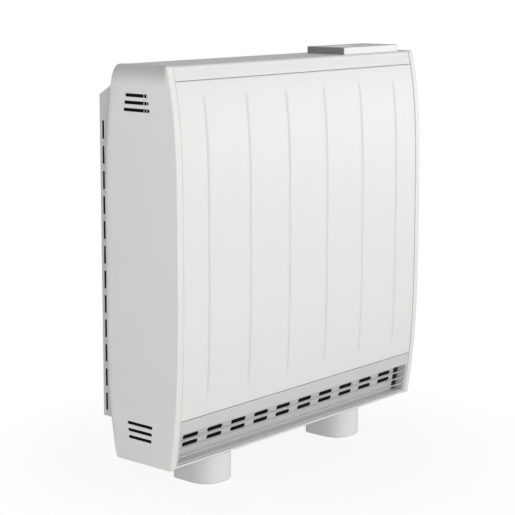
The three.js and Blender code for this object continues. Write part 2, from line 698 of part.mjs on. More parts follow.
// Slotted plate behind the fins: a row of round-ended slots above each of the upper fins.
function grilleBackPlate() {
  const from = BACK_PLATE_FROM;
  const half = GRILLE_HALF - BACK_PLATE_INSET;
  const reach = half - SLOT_MARGIN - SLOT_LENGTH / 2;
  const low = MOUTH_BOTTOM - BACK_PLATE_LAP;
  const high = MOUTH_TOP + BACK_PLATE_LAP;
  const plate = frontBand(low, high, from, from + BACK_PLATE_SHEET, -half, half, 1);
  const tools = [];
  for (const z of finLevels().slice(0, SLOT_ROWS)) {
    for (let i = 0; i < SLOT_COUNT; i += 1) {
      const x = reach * ((2 * i) / (SLOT_COUNT - 1) - 1);
      const slot = obround(x, z - SLOT_DROP, SLOT_LENGTH, SLOT_HEIGHT);
      tools.push(alongY(slot, FRONT_Y, CORE.y1, 3));
    }
  }
  return cut(plate, ...tools);
}

// Spacer box on the rear: slotted sides, a sloping top, and keyholes for the wall screws.
function wallSpacer() {
  const seat = CAP_PROUD + SEAT;
  const slopeTop = SPACER_TOP + SPACER_SLOPE;
  const levels = heights(SPACER_BOTTOM, slopeTop, BOW_STEPS);
  const slotTop = SPACER_TOP - SPACER_SLOT_DROP;
  const slotBottom = SPACER_BOTTOM + SPACER_SLOT_RISE + SPACER_SLOT_HEIGHT;
  const slotTops = heights(slotBottom, slotTop, SPACER_SLOT_COUNT - 1);
  const keyholeZ = SPACER_TOP - KEYHOLE_DEPTH;
  const section = (inset) => {
    const against = levels.map((z) => [rearAt(z) + seat, z]);
    against[0][1] += inset;
    against[against.length - 1][1] -= inset * 1.2;
    const wall = WALL_Y - inset;
    return outline([...against, [wall, SPACER_TOP - inset / 2], [wall, SPACER_BOTTOM + inset]]);
  };
  const block = alongX(section(0), -SPACER_HALF, SPACER_HALF);
  const inside = alongX(section(SHEET), SHEET - SPACER_HALF, SPACER_HALF - SHEET);
  const mouth = inside.translate([0, -SPACER_DEPTH / 2, 0]);
  const tools = [];
  for (const top of slotTops) {
    const y1 = WALL_Y - SPACER_SLOT_BACK;
    tools.push(slab(-HALF, HALF, y1 - SPACER_SLOT_WIDTH, y1, top - SPACER_SLOT_HEIGHT, top));
  }
  for (const side of [-1, 1]) {
    const x = side * (SPACER_HALF - KEYHOLE_INSET);
    const hole = obround(x, keyholeZ, 2 * KEYHOLE_RADIUS + PAST, 2 * KEYHOLE_RADIUS);
    const neck = roundedRect(x - KEYHOLE_SLOT, x + KEYHOLE_SLOT, keyholeZ, keyholeZ + KEYHOLE_NECK, 2);
    tools.push(alongY(hole, REAR_Y, WALL_Y + PAST), alongY(neck, REAR_Y, WALL_Y + PAST));
  }
  return cut(block, inside, mouth, ...tools);
}

// ---------------------------------------------------------------- feet

// Points along an oval arc, both ends included.
function arcPoints(x, y, reachX, reachY, from, to, steps) {
  const place = (angle) => [x + reachX * Math.cos(angle), y + reachY * Math.sin(angle)];
  return heights(from, to, steps).map(place);
}

// Plan of a foot, half oval at the front and nearly square behind, drawn in by an inset.
function footPlan(inset) {
  const reach = FOOT_WIDTH / 2 - inset;
  const side = reach - FOOT_CORNER;
  const back = FOOT_BACK - inset - FOOT_CORNER;
  return [
    ...arcPoints(0, FOOT_FRONT + FOOT_NOSE, reach, FOOT_NOSE - inset, -Math.PI, 0, 14),
    ...arcPoints(side, back, FOOT_CORNER, FOOT_CORNER, 0, Math.PI / 2, 3),
    ...arcPoints(-side, back, FOOT_CORNER, FOOT_CORNER, Math.PI / 2, Math.PI, 3),
  ];
}

// A hollow foot with a rounded bottom edge and a screw boss, open towards the base panel.
function foot(x) {
  const ring = (inset, z) => footPlan(inset).map(([px, py]) => [px, py, z]);
  const edge = heights(0, Math.PI / 2, 3).map((turn) =>
    ring(FOOT_EDGE * (1 - Math.sin(turn)), FOOT_EDGE * (1 - Math.cos(turn))),
  );
  const body = loft([...edge, ring(0, CASING_BOTTOM)]);
  const hollow = alongZ(outline(footPlan(FOOT_WALL)), FOOT_SOLE, CASING_BOTTOM + PAST);
  const boss = rodZ(FOOT_BOSS_RADIUS, FOOT_SOLE / 2, CASING_BOTTOM, 0, FOOT_SCREW_Y, 12);
  const bore = rodZ(FOOT_SCREW_RADIUS + SEAT, -PAST, CASING_BOTTOM + PAST, 0, FOOT_SCREW_Y, 12);
  const pocket = rodZ(FOOT_SCREW_HEAD.radius + SEAT, -PAST, FOOT_SOLE, 0, FOOT_SCREW_Y, 12);
  return cut(join(cut(body, hollow), boss), bore, pocket).translate([x, 0, 0]);
}

// The screw that holds a foot, up through its boss and flush with the base panel.
function footScrew(x) {
  const seat = FOOT_SOLE - SEAT;
  const shank = rodZ(FOOT_SCREW_RADIUS, seat - BITE, FLOOR_Z, x, FOOT_SCREW_Y, 12);
  const { radius, thickness } = FOOT_SCREW_HEAD;
  return join(shank, rodZ(radius, seat - thickness, seat, x, FOOT_SCREW_Y, 12));
}

// ---------------------------------------------------------------- brick core

// The room inside the core case, and inside the insulation when it is drawn in by it.
function coreRoom(inset) {
  return {
    x0: CORE.x0 + inset,
    x1: CORE.x1 - inset,
    y0: CORE.y0 + inset,
    y1: CORE.y1 - inset,
    z0: CORE.z0 + inset,
    z1: CORE.z1 - inset,
  };
}

function room(r) {
  return slab(r.x0, r.x1, r.y0, r.y1, r.z0, r.z1);
}

const LINING = coreRoom(CORE_SHEET + SEAT);
const STACK = coreRoom(CORE_SHEET + INSULATION + 2 * SEAT);

// The two air openings under the stack, between two heights.
function ports(z0, z1, grow = 0) {
  return [FRONT_PORT_Y, REAR_PORT_Y].map((y) =>
    slab(-PORT_HALF - grow, PORT_HALF + grow, y - grow, y + PORT_DEPTH + grow, z0, z1),
  );
}

// Heights of one element's two legs in a brick row.
function legLevels(row) {
  const rowHeight = (STACK.z1 - STACK.z0) / BRICK_ROWS;
  const middle = STACK.z0 + (row + 0.5) * rowHeight;
  return [middle - CHANNEL_SPACING / 2, middle + CHANNEL_SPACING / 2];
}

// The plane between the front and the rear layer of bricks, where the elements lie.
function elementPlane() {
  return (STACK.y0 + STACK.y1) / 2;
}

// Holes for the elements' cold ends through the right wall of the core.
function elementHoles() {
  const rows = Array.from({ length: BRICK_ROWS }, (_, row) => row);
  return rows.flatMap(legLevels).map((z) =>
    rodX(CHANNEL_RADIUS, STACK.x1 - PAST, CORE.x1 + PAST, elementPlane(), z, CHANNEL_SIDES),
  );
}

// Core case: a folded steel tray, open at the front, where its cover closes it.
function coreCase() {
  const inside = coreRoom(CORE_SHEET);
  const tray = cut(room(CORE), room({ ...inside, y0: CORE.y0 - PAST }));
  return cut(tray, ...ports(CORE.z0 - PAST, CORE.z0 + INSULATION), ...elementHoles());
}

// Cover of the core case, inside its walls.
function coreCover() {
  const inside = coreRoom(CORE_SHEET + SEAT);
  return room({ ...inside, y0: CORE.y0, y1: CORE.y0 + CORE_SHEET });
}

// Insulation boards: front and rear over the whole face, top and base between them, then the sides.
function insulation(side) {
  const board = { ...LINING };
  const behindCover = LINING.y0 + SEAT;
  board.y0 = behindCover;
  const frontEdge = behindCover + INSULATION;
  const rearEdge = LINING.y1 - INSULATION;
  const between = { ...board, y0: frontEdge + SEAT, y1: rearEdge - SEAT };
  const upright = { ...between, z0: LINING.z0 + INSULATION + SEAT, z1: LINING.z1 - INSULATION - SEAT };
  const boards = {
    front: { ...board, y1: frontEdge },
    rear: { ...board, y0: rearEdge },
    base: { ...between, z1: LINING.z0 + INSULATION },
    top: { ...between, z0: LINING.z1 - INSULATION },
    left: { ...upright, x1: LINING.x0 + INSULATION },
    right: { ...upright, x0: LINING.x1 - INSULATION },
  };
  const solid = room(boards[side]);
  if (side === "base") {
    return cut(solid, ...ports(CORE.z0, STACK.z0 + PAST));
  }
  return side === "right" ? cut(solid, ...elementHoles()) : solid;
}

// One brick: half-round channels for the elements, and a pocket for their bend in the left column.
function brick(layer, column, row) {
  const plane = elementPlane();
  const front = STACK.y0 + SEAT;
  const width = (STACK.x1 - STACK.x0) / BRICK_COLUMNS;
  const height = (STACK.z1 - STACK.z0) / BRICK_ROWS;
  const block = room({
    x0: STACK.x0 + column * width + SEAT / 2,
    x1: STACK.x0 + (column + 1) * width - SEAT / 2,
    y0: layer === "front" ? front : plane + SEAT / 2,
    y1: layer === "front" ? plane - SEAT / 2 : STACK.y1,
    z0: STACK.z0 + row * height,
    z1: STACK.z0 + (row + 1) * height - SEAT,
  });
  const levels = legLevels(row);
  const tools = levels.map((z) =>
    rodX(CHANNEL_RADIUS, STACK.x0 + BEND_POCKET / 2, STACK.x1 + PAST, plane, z, CHANNEL_SIDES),
  );
  if (column === 0) {
    const [low, high] = levels;
    const x0 = STACK.x0 + SEAT + CHANNEL_RADIUS;
    const span = [plane - CHANNEL_RADIUS, plane + CHANNEL_RADIUS];
    const reach = CHANNEL_RADIUS + SEAT;
    tools.push(slab(x0, x0 + BEND_POCKET, ...span, low - reach, high + reach));
  }
  return cut(block, ...tools);
}

// Sheathed element: two straight legs joined by a half-round bend, and bare pins at the cold ends.
function heatingElement(row) {
  const [low, high] = legLevels(row);
  const bendRadius = CHANNEL_SPACING / 2;
  const bendX = STACK.x0 + SEAT + 2 * CHANNEL_RADIUS + bendRadius;
  const coldEnd = CORE.x1 + ELEMENT_END;
  // A ring round the tube at a point of its centre line, square to the direction given by its angle.
  const ring = (x, z, angle, radius) =>
    heights(0, 2 * Math.PI, ELEMENT_SIDES)
      .slice(1)
      .map((turn) => [
        x + radius * Math.cos(turn) * Math.cos(angle),
        elementPlane() + radius * Math.sin(turn),
        z + radius * Math.cos(turn) * Math.sin(angle),
      ]);
  const leg = (z, angle) => [
    ring(coldEnd + ELEMENT_PIN, z, angle, ELEMENT_PIN_RADIUS),
    ring(coldEnd, z, angle, ELEMENT_PIN_RADIUS),
    ring(coldEnd, z, angle, ELEMENT_RADIUS),
  ];
  const bend = heights(Math.PI / 2, (3 * Math.PI) / 2, BEND_STEPS).map((angle) =>
    ring(
      bendX + bendRadius * Math.cos(angle),
      (low + high) / 2 + bendRadius * Math.sin(angle),
      angle,
      ELEMENT_RADIUS,
    ),
  );
  return loft([...leg(high, Math.PI / 2), ...bend, ...leg(low, (3 * Math.PI) / 2).reverse()]);
}

// Folded channel that carries the core case above the base panel.
function coreSupport(side) {
  const [low, high] = [FLOOR_Z + SEAT, CORE.z0 - SEAT];
  const x = side * SUPPORT_X;
  const [y0, y1] = [frontAt(low) + CORE_BAY_FRONT + SHEET, rearAt(low) - CORE_BAY_REAR / 2];
  const [x0, x1] = side > 0 ? [x, x + SUPPORT_FLANGE] : [x - SUPPORT_FLANGE, x];
  const web = side > 0 ? [x, x + SHEET] : [x - SHEET, x];
  return join(
    slab(...web, y0, y1, low, high),
    slab(x0, x1, y0, y1, low, low + SHEET),
    slab(x0, x1, y0, y1, high - SHEET, high),
  );
}

// ---------------------------------------------------------------- fan, duct and flap

// Fan housing: a round chamber that runs out into the duct, with end plates and a hot-air collar.
function fanHousing() {
  const [x0, x1] = [-HOUSING_HALF, HOUSING_HALF];
  const chamber = (grow) => {
    const drum = rodX(FAN_RADIUS + FAN_GAP + grow, x0 - grow, x1 + grow, FAN_Y, FAN_Z, 20);
    const duct = slab(x0 - grow, x1 + grow, DUCT_FRONT, FAN_Y, DUCT_BOTTOM - grow, DUCT_TOP + grow);
    return join(drum, duct);
  };
  const inner = join(
    chamber(0),
    slab(x0, x1, DUCT_FRONT - PAST, FAN_Y, DUCT_BOTTOM, DUCT_TOP),
  );
  const inlet = slab(x0, x1, FAN_Y + FAN_RADIUS / 2, REAR_Y, FAN_Z - INTAKE_HALF, FAN_Z + INTAKE_HALF);
  const [collar] = ports(DUCT_TOP + SHEET / 2, CORE.z0 - SEAT, SHEET);
  const [port] = ports(DUCT_TOP - PAST, CORE.z0);
  const shell = cut(join(chamber(SHEET), collar), inner, inlet, port);
  const [left, right] = [x0 - 2 * SHEET, x1 + 2 * SHEET];
  return cut(
    join(shell, housingStand(-1), housingStand(1)),
    rodX(BEARING_RADIUS + SEAT, left, x0 + PAST, FAN_Y, FAN_Z),
    rodX(SHAFT_RADIUS + SHAFT_WAY, x1 - PAST, right, FAN_Y, FAN_Z),
    rodX(FLAP_ROD_RADIUS + SHAFT_CLEARANCE, left, right, FLAP_Y, FLAP_Z, 12),
    rodX(BOOST_RADIUS + SEAT, left, right, BOOST_Y, BOOST_Z, 12),
  );
}

// Foot of the housing at one end plate, down to the base panel.
function housingStand(side) {
  const x = side * (HOUSING_HALF + SHEET / 2);
  const span = [x - SHEET / 2, x + SHEET / 2, DUCT_FRONT, FAN_Y + FAN_RADIUS];
  return slab(...span, FLOOR_Z + SEAT, DUCT_BOTTOM);
}

// Cross-flow impeller: blades round three discs, bored for the shaft.
function fanImpeller() {
  const ring = FAN_RADIUS - BLADE_LENGTH / 2;
  const discs = [-FAN_HALF, -DISC_THICKNESS / 2, FAN_HALF - DISC_THICKNESS].map((x) =>
    rodX(FAN_RADIUS - BLADE_THICKNESS, x, x + DISC_THICKNESS, 0, 0, FAN_BLADES),
  );
  const blades = Array.from({ length: FAN_BLADES }, (_, i) => {
    const geometry = new THREE.BoxGeometry(2 * FAN_HALF, BLADE_THICKNESS, BLADE_LENGTH);
    geometry.rotateX(BLADE_TILT);
    geometry.translate(0, 0, ring);
    geometry.rotateX((2 * Math.PI * i) / FAN_BLADES);
    return solidOf(geometry);
  });
  const bore = rodX(SHAFT_RADIUS + SHAFT_CLEARANCE, -FAN_HALF - PAST, FAN_HALF + PAST, 0, 0);
  return cut(join(...discs, ...blades), bore).translate([0, FAN_Y, FAN_Z]);
}

function fanShaft() {
  const x0 = -HOUSING_HALF - BEARING_LENGTH / 2;
  const x1 = HOUSING_HALF + SHEET + MOTOR_LENGTH - MOTOR_COVER;
  return rodX(SHAFT_RADIUS, x0, x1, FAN_Y, FAN_Z);
}

// Bearing bush in the left end plate, closed at its outer end.
function fanBearing() {
  const x1 = -HOUSING_HALF;
  const x0 = x1 - BEARING_LENGTH;
  const bush = rodX(BEARING_RADIUS, x0, x1, FAN_Y, FAN_Z);
  return cut(bush, rodX(SHAFT_RADIUS + SHAFT_CLEARANCE, x0 + BEARING_CAP, x1 + PAST, FAN_Y, FAN_Z));
}

// Motor stator in its can, screwed to the right end plate.
function fanMotor() {
  const x0 = HOUSING_HALF + SHEET + SEAT;
  const x1 = x0 + MOTOR_LENGTH;
  const can = rodX(MOTOR_RADIUS, x0, x1, FAN_Y, FAN_Z, 24);
  const bore = rodX(MOTOR_BORE, x0 + MOTOR_COVER, x1 - MOTOR_COVER, FAN_Y, FAN_Z, 20);
  const way = rodX(SHAFT_RADIUS + SHAFT_CLEARANCE, x0 - PAST, x1 - MOTOR_COVER, FAN_Y, FAN_Z);
  const [y0, y1] = [FAN_Y - MOTOR_BREATHER / 2, FAN_Y + MOTOR_BREATHER / 2];
  const breather = slab(x0 + 2 * MOTOR_COVER, x1 - 2 * MOTOR_COVER, y0, y1, FAN_Z, FAN_Z + MOTOR_RADIUS);
  return cut(can, bore, way, breather);
}

function motorRotor() {
  const x0 = HOUSING_HALF + SHEET + SEAT + MOTOR_COVER + ROTOR_CLEARANCE;
  const x1 = x0 + MOTOR_LENGTH - 2 * (MOTOR_COVER + ROTOR_CLEARANCE);
  const drum = rodX(MOTOR_BORE - ROTOR_CLEARANCE, x0, x1, FAN_Y, FAN_Z, 20);
  return cut(drum, rodX(SHAFT_RADIUS + SHAFT_CLEARANCE, x0 - PAST, x1 + PAST, FAN_Y, FAN_Z));
}

// Mixing flap under the hot-air port, on its own rod.
function mixingFlap() {
  const half = HOUSING_HALF - FLAP_END_GAP;
  const top = FLAP_Z + FLAP_ROD_RADIUS;
  const front = FLAP_Y - FLAP_LENGTH;
  const plate = slab(-half, half, front, FLAP_Y, top - FLAP_SHEET, top);
  const lip = slab(-half, half, front, front + FLAP_SHEET, top - FLAP_SHEET - FLAP_LIP, top - FLAP_SHEET / 2);
  const outer = HOUSING_HALF + SHEET;
  return join(plate, lip, rodX(FLAP_ROD_RADIUS, -outer - FLAP_ROD_BITE, outer, FLAP_Y, FLAP_Z, 12));
}

// Flap actuator on the left end plate, bored for the flap's rod.
function flapActuator() {
  const x1 = -HOUSING_HALF - SHEET - SEAT;
  const x0 = x1 - ACTUATOR.width;
  const about = ({ depth, height }, from, to) =>
    slab(from, to, FLAP_Y - depth / 2, FLAP_Y + depth / 2, FLAP_Z - height / 2, FLAP_Z + height / 2);
  const body = about(ACTUATOR, x0, x1);
  const socket = about(ACTUATOR_SOCKET, x0 - ACTUATOR_SOCKET.width, x0 + BITE);
  const boreEnd = x1 - FLAP_ROD_BITE - PAST;
  const bore = rodX(FLAP_ROD_RADIUS + SHAFT_CLEARANCE, boreEnd, x1 + PAST, FLAP_Y, FLAP_Z, 12);
  return cut(join(body, socket), bore);
}

// Boost element across the duct, a sheathed rod with cooling discs.
function boostElement() {
  const reach = HOUSING_HALF + 2 * SHEET;
  const parts = [rodX(BOOST_RADIUS, -reach, reach, BOOST_Y, BOOST_Z, 12)];
  parts.push(rodX(ELEMENT_PIN_RADIUS, reach - BITE, reach + ELEMENT_PIN, BOOST_Y, BOOST_Z, 8));
  for (let i = 0; i < BOOST_FINS; i += 1) {
    const x = ((i + 0.5) / BOOST_FINS - 0.5) * 2 * (HOUSING_HALF - BOOST_FIN_RADIUS);
    const [x0, x1] = [x - BOOST_FIN_THICKNESS / 2, x + BOOST_FIN_THICKNESS / 2];
    parts.push(rodX(BOOST_FIN_RADIUS, x0, x1, BOOST_Y, BOOST_Z, 8));
  }
  return join(...parts);
}

// ---------------------------------------------------------------- wiring bay

// Power board on four posts, with its relays, transformer, heat sink, fuse and capacitor.
function powerBoard() {
  const low = FLOOR_Z + SEAT;
  const face = low + STANDOFF + BOARD_THICKNESS;
  const [x0, y0] = [BOARD_X, BOARD_Y];
  const [x1, y1] = [x0 + BOARD_WIDTH, y0 + BOARD_DEPTH];
  const posts = [x0 + STANDOFF_INSET, x1 - STANDOFF_INSET].flatMap((x) =>
    [y0 + STANDOFF_INSET, y1 - STANDOFF_INSET].map((y) =>
      rodZ(STANDOFF_RADIUS, low, low + STANDOFF + BITE, x, y, 8),
    ),
  );
  const secondRelay = { ...RELAY, x: RELAY.x + RELAY_PITCH };
  const blocks = [RELAY, secondRelay, TRANSFORMER, HEAT_SINK, FUSE].map(({ x, y, width, depth, height }) =>
    slab(x0 + x, x0 + x + width, y0 + y, y0 + y + depth, face - BITE, face + height),
  );
  const { x, y, radius, height } = CAPACITOR;
  const capacitor = rodZ(radius, face - BITE, face + height, x0 + x, y0 + y, 12);
  return join(slab(x0, x1, y0, y1, low + STANDOFF, face), ...posts, ...blocks, capacitor);
}

// Terminal block: a moulded strip with a well over each clamp screw.
function terminalBlock() {
  const low = FLOOR_Z + SEAT;
  const top = low + TERMINAL_HEIGHT;
  const [x0, y0] = [TERMINAL_X, TERMINAL_Y];
  const strip = slab(x0, x0 + TERMINAL_WIDTH, y0, y0 + TERMINAL_DEPTH, low, top);
  const tools = [];
  const pitch = TERMINAL_DEPTH / TERMINAL_WAYS;
  for (let i = 0; i < TERMINAL_WAYS; i += 1) {
    const y = y0 + (i + 0.5) * pitch;
    for (const x of [x0 + TERMINAL_WIDTH / 4, x0 + (3 * TERMINAL_WIDTH) / 4]) {
      tools.push(rodZ(TERMINAL_WELL.radius, top - TERMINAL_WELL.depth, top + PAST, x, y, 6));
    }
  }
  return cut(strip, ...tools);
}

// Cable gland through the base panel: a flange inside and a bored spigot below.
function cableGland() {
  const low = CASING_BOTTOM - GLAND_DROP;
  const seat = FLOOR_Z + SEAT;
  const top = seat + GLAND_FLANGE.thickness;
  const spigot = rodZ(GLAND_RADIUS, low, seat + BITE, GLAND_X, GLAND_Y);
  const flange = rodZ(GLAND_FLANGE.radius, seat, top, GLAND_X, GLAND_Y, 20);
  return cut(join(spigot, flange), rodZ(GLAND_BORE, low - PAST, top + PAST, GLAND_X, GLAND_Y));
}

// Thermal cut-out on the core case's right wall, bored for its reset pin, with a blade above and below.
function thermalCutout() {
  const x0 = CORE.x1 + SEAT;
  const y = elementPlane();
  const earReach = CUTOUT_RADIUS + CUTOUT_EAR;
  const [earLow, earHigh] = [CUTOUT_Z - CUTOUT_EAR_HALF, CUTOUT_Z + CUTOUT_EAR_HALF];
  const bladeReach = CUTOUT_RADIUS + CUTOUT_BLADE.reach;
  const bladeHalf = CUTOUT_BLADE.width / 2;
  const bladeX = x0 + CORE_SHEET + SEAT;
  const body = join(
    slab(x0, x0 + CORE_SHEET, y - earReach, y + earReach, earLow, earHigh),
    rodX(CUTOUT_RADIUS, x0, x0 + CUTOUT_HEIGHT, y, CUTOUT_Z, 20),
    slab(
      bladeX, bladeX + CUTOUT_BLADE.thickness,
      y - bladeHalf, y + bladeHalf,
      CUTOUT_Z - bladeReach, CUTOUT_Z + bladeReach,
    ),
  );
  const tip = x0 + CUTOUT_HEIGHT;
  return cut(body, rodX(RESET_RADIUS + SEAT, tip - RESET_WELL, tip + PAST, y, CUTOUT_Z, 12));
}

// Reset pin, standing proud of the cut-out with room to travel below it.
function cutoutResetButton() {
  const tip = CORE.x1 + SEAT + CUTOUT_HEIGHT;
  const foot = tip - RESET_WELL + RESET_TRAVEL + SEAT;
  return rodX(RESET_RADIUS, foot, tip + RESET_PROUD, elementPlane(), CUTOUT_Z, 12);
}

// ---------------------------------------------------------------- control pod

// Centre of a button, in rows of BUTTON_COLUMNS from the front left.
function buttonPlace(index) {
  const column = index % BUTTON_COLUMNS;
  const row = Math.floor(index / BUTTON_COLUMNS);
  return [POD.x0 + BUTTON_FIRST.x + column * BUTTON_PITCH, POD.y0 + BUTTON_FIRST.y + row * BUTTON_PITCH];
}

// Four bosses that hold the control board under the pod's roof.
function boardBosses() {
  const inset = CONTROL_BOARD_INSET + BOARD_BOSS.inset;
  const [low, high] = [BOARD_FACE + SEAT, POD.z1 - POD_WALL / 2];
  return [POD.x0 + inset, POD.x1 - inset].flatMap((x) =>
    [POD.y0 + inset, POD.y1 - inset].map((y) => rodZ(BOARD_BOSS.radius, low, high, x, y, 8)),
  );
}

// Pod housing: a shallow lid, open below, with the window's rebate and the button holes.
function controlPod() {
  const left = POD.x0 + LOUVRE_THICKNESS + SEAT;
  const lid = alongZ(roundedRect(left, POD.x1, POD.y0, POD.y1, POD_CORNER), POD.z0, POD.z1);
  const square = slab(left, left + 2 * POD_CORNER, POD.y0, POD.y1, POD.z0, POD.z1);
  const ceiling = POD.z1 - POD_WALL;
  const hollow = slab(
    left + POD_WALL, POD.x1 - POD_WALL,
    POD.y0 + POD_WALL, POD.y1 - POD_WALL,
    POD.z0 - PAST, ceiling,
  );
  const intake = slab(
    left - PAST, left + 2 * POD_WALL,
    POD.y0 + POD_INTAKE.inset, POD.y1 - POD_INTAKE.inset,
    POD.z0 + POD_INTAKE.edge, POD.z1 - POD_INTAKE.edge,
  );
  const { x0, x1, y0, y1 } = WINDOW_BOX;
  const rebate = POD.z1 - WINDOW.thickness - SEAT;
  const { lip } = WINDOW;
  const tools = [
    slab(x0 - SEAT, x1 + SEAT, y0 - SEAT, y1 + SEAT, rebate, POD.z1 + PAST),
    slab(x0 + lip, x1 - lip, y0 + lip, y1 - lip, ceiling - PAST, POD.z1),
  ];
  BUTTON_NAMES.forEach((_, i) => {
    tools.push(rodZ(BUTTON_RADIUS + SEAT, ceiling - PAST, POD.z1 + PAST, ...buttonPlace(i)));
  });
  return cut(join(cut(join(lid, square), hollow, intake), ...boardBosses()), ...tools);
}

// Dark louvred end of the pod, in front of the room sensor.
function podLouvre() {
  const [x0, x1] = [POD.x0, POD.x0 + LOUVRE_THICKNESS];
  const plate = slab(x0, x1, POD.y0, POD.y1, POD.z0, POD.z1);
  const { depth, width, inset } = LOUVRE_LINE;
  const tools = heights(POD.z0, POD.z1, LOUVRE_LINES + 1)
    .slice(1, -1)
    .map((z) => slab(x0 - PAST, x0 + depth, POD.y0 + inset, POD.y1 - inset, z - width / 2, z + width / 2));
  return cut(plate, ...tools);
}

function displayWindow() {
  const { x0, x1, y0, y1 } = WINDOW_BOX;
  return slab(x0, x1, y0, y1, POD.z1 - WINDOW.thickness, POD.z1);
}

function displayModule() {
  const { x0, x1, y0, y1 } = WINDOW_BOX;
  const low = BOARD_FACE + SEAT;
  const inset = WINDOW.lip + DISPLAY_INSET;
  return slab(x0 + inset, x1 - inset, y0 + inset, y1 - inset, low, low + DISPLAY_HEIGHT);
}

// Control board with one push switch under each button, and its plug socket over the wires' hole.
function controlBoard() {
  const inset = CONTROL_BOARD_INSET;
  const low = POD.z0 + CONTROL_BOARD_LIFT;
  const parts = [slab(POD.x0 + inset, POD.x1 - inset, POD.y0 + inset, POD.y1 - inset, low, BOARD_FACE)];
  const switchTop = BUTTON_FOOT - BUTTON_TRAVEL - SEAT;
  const half = SWITCH_SIZE / 2;
  BUTTON_NAMES.forEach((_, i) => {
    const [x, y] = buttonPlace(i);
    parts.push(slab(x - half, x + half, y - half, y + half, BOARD_FACE - BITE, switchTop));
  });
  const x = POD.x0 + WIRE_WAY.x + WIRE_WAY.width / 2;
  const y = POD.y0 + WIRE_WAY.y + WIRE_WAY.depth / 2;
  const { width, depth, drop } = BOARD_SOCKET;
  const span = [x - width / 2, x + width / 2, y - depth / 2, y + depth / 2];
  parts.push(slab(...span, POD.z0 - drop, BOARD_FACE - BITE));
  return join(...parts);
}

// A round button whose flange stops it under the pod's roof.
function pushButton(index) {
  const place = buttonPlace(index);
  const { reach, thickness } = BUTTON_FLANGE;
  return join(
    rodZ(BUTTON_RADIUS, BUTTON_FOOT, POD.z1 + BUTTON_PROUD, ...place),
    rodZ(BUTTON_RADIUS + reach, BUTTON_FOOT, BUTTON_FOOT + thickness, ...place),
  );
}

// Room temperature sensor behind the louvred end, standing on the control board.
function roomSensor() {
  const x = POD.x0 + CONTROL_BOARD_INSET + SENSOR.inset;
  const y = (POD.y0 + POD.y1) / 2;
  const low = BOARD_FACE + SEAT;
  return join(
    rodZ(SENSOR.radius, low, low + SENSOR.height, x, y, 10),
    rodZ(SENSOR.radius + SENSOR.foot, low, low + SENSOR.foot, x, y, 10),
  );
}

// ---------------------------------------------------------------- finishes and assembly

const paint = (color, roughness, metalness) => ({ color, roughness, metalness });
const FINISHES = {
  whitePaint: paint(0xebebea, 0.3, 0),
  capWhite: paint(0xe2e2df, 0.45, 0),
  silverPaint: paint(0xc9cac9, 0.4, 0.3),
  galvanised: paint(0x9fa2a2, 0.45, 0.8),
  darkPlastic: paint(0x4a4a48, 0.55, 0),
  whitePlastic: paint(0xececea, 0.4, 0),
  smokedWindow: paint(0x1d2022, 0.12, 0),
  board: paint(0x2f6b3f, 0.6, 0),
  brickBrown: paint(0x5a3a2c, 0.95, 0),
  insulationBuff: paint(0xc8b894, 1, 0),
  sheath: paint(0x6f6a64, 0.4, 0.9),
  aluminium: paint(0xb7babd, 0.35, 0.9),
  steel: paint(0x8b8d90, 0.3, 1),
  copper: paint(0x6a4c3a, 0.5, 0.6),
};

const heater = new THREE.Group();

function add(name, solid, finish) {
  const mesh = new THREE.Mesh(geometryOf(solid), new THREE.MeshStandardMaterial(FINISHES[finish]));
  mesh.name = name;
  heater.add(mesh);
}

const mirrored = (solid) => solid.mirror([1, 0, 0]);

add("left_end_cap", mirrored(endCap()), "capWhite");
add("right_end_cap", endCap(), "capWhite");
add("left_side_frame", mirrored(sideFrame()), "galvanised");
add("right_side_frame", sideFrame(), "galvanised");
add("front_panel", frontPanel(), "whitePaint");
add("top_panel", topPanel(), "whitePaint");
add("rear_panel", rearPanel(), "galvanised");
add("base_panel", basePanel(), "galvanised");
add("wall_spacer", wallSpacer(), "silverPaint");
add("outlet_grille", outletGrille(), "silverPaint");
add("grille_back_plate", grilleBackPlate(), "silverPaint");
[["left", -1], ["right", 1]].forEach(([name, side]) => {
  const x = side * FOOT_X;
  add(`${name}_foot`, foot(x), "whitePlastic");
  add(`${name}_foot_screw`, footScrew(x), "steel");
  add(`${name}_core_support`, coreSupport(side), "galvanised");
});

add("core_case", coreCase(), "galvanised");
add("core_cover", coreCover(), "galvanised");
["front", "rear", "left", "right", "top", "base"].forEach((side) => {
  add(`${side}_insulation`, insulation(side), "insulationBuff");
});
for (let row = 0; row < BRICK_ROWS; row += 1) {
  for (let column = 0; column < BRICK_COLUMNS; column += 1) {
    for (const layer of ["front", "rear"]) {
      add(`${layer}_brick_${row + 1}_${column + 1}`, brick(layer, column, row), "brickBrown");
    }
  }
  add(`heating_element_${row + 1}`, heatingElement(row), "sheath");
}

add("fan_housing", fanHousing(), "galvanised");
add("fan_impeller", fanImpeller(), "aluminium");
add("fan_shaft", fanShaft(), "steel");
add("fan_bearing", fanBearing(), "darkPlastic");
add("fan_motor", fanMotor(), "steel");
add("motor_rotor", motorRotor(), "copper");
add("mixing_flap", mixingFlap(), "galvanised");
add("flap_actuator", flapActuator(), "darkPlastic");
add("boost_element", boostElement(), "sheath");

add("power_board", powerBoard(), "board");
add("terminal_block", terminalBlock(), "darkPlastic");
add("cable_gland", cableGland(), "darkPlastic");
add("thermal_cutout", thermalCutout(), "darkPlastic");
add("cutout_reset_button", cutoutResetButton(), "whitePlastic");

add("control_pod", controlPod(), "whitePlastic");
add("pod_louvre", podLouvre(), "darkPlastic");
add("display_window", displayWindow(), "smokedWindow");
add("display_module", displayModule(), "darkPlastic");
add("control_board", controlBoard(), "board");
add("room_sensor", roomSensor(), "darkPlastic");
BUTTON_NAMES.forEach((name, i) => add(`${name}_button`, pushButton(i), "darkPlastic"));

export default heater;
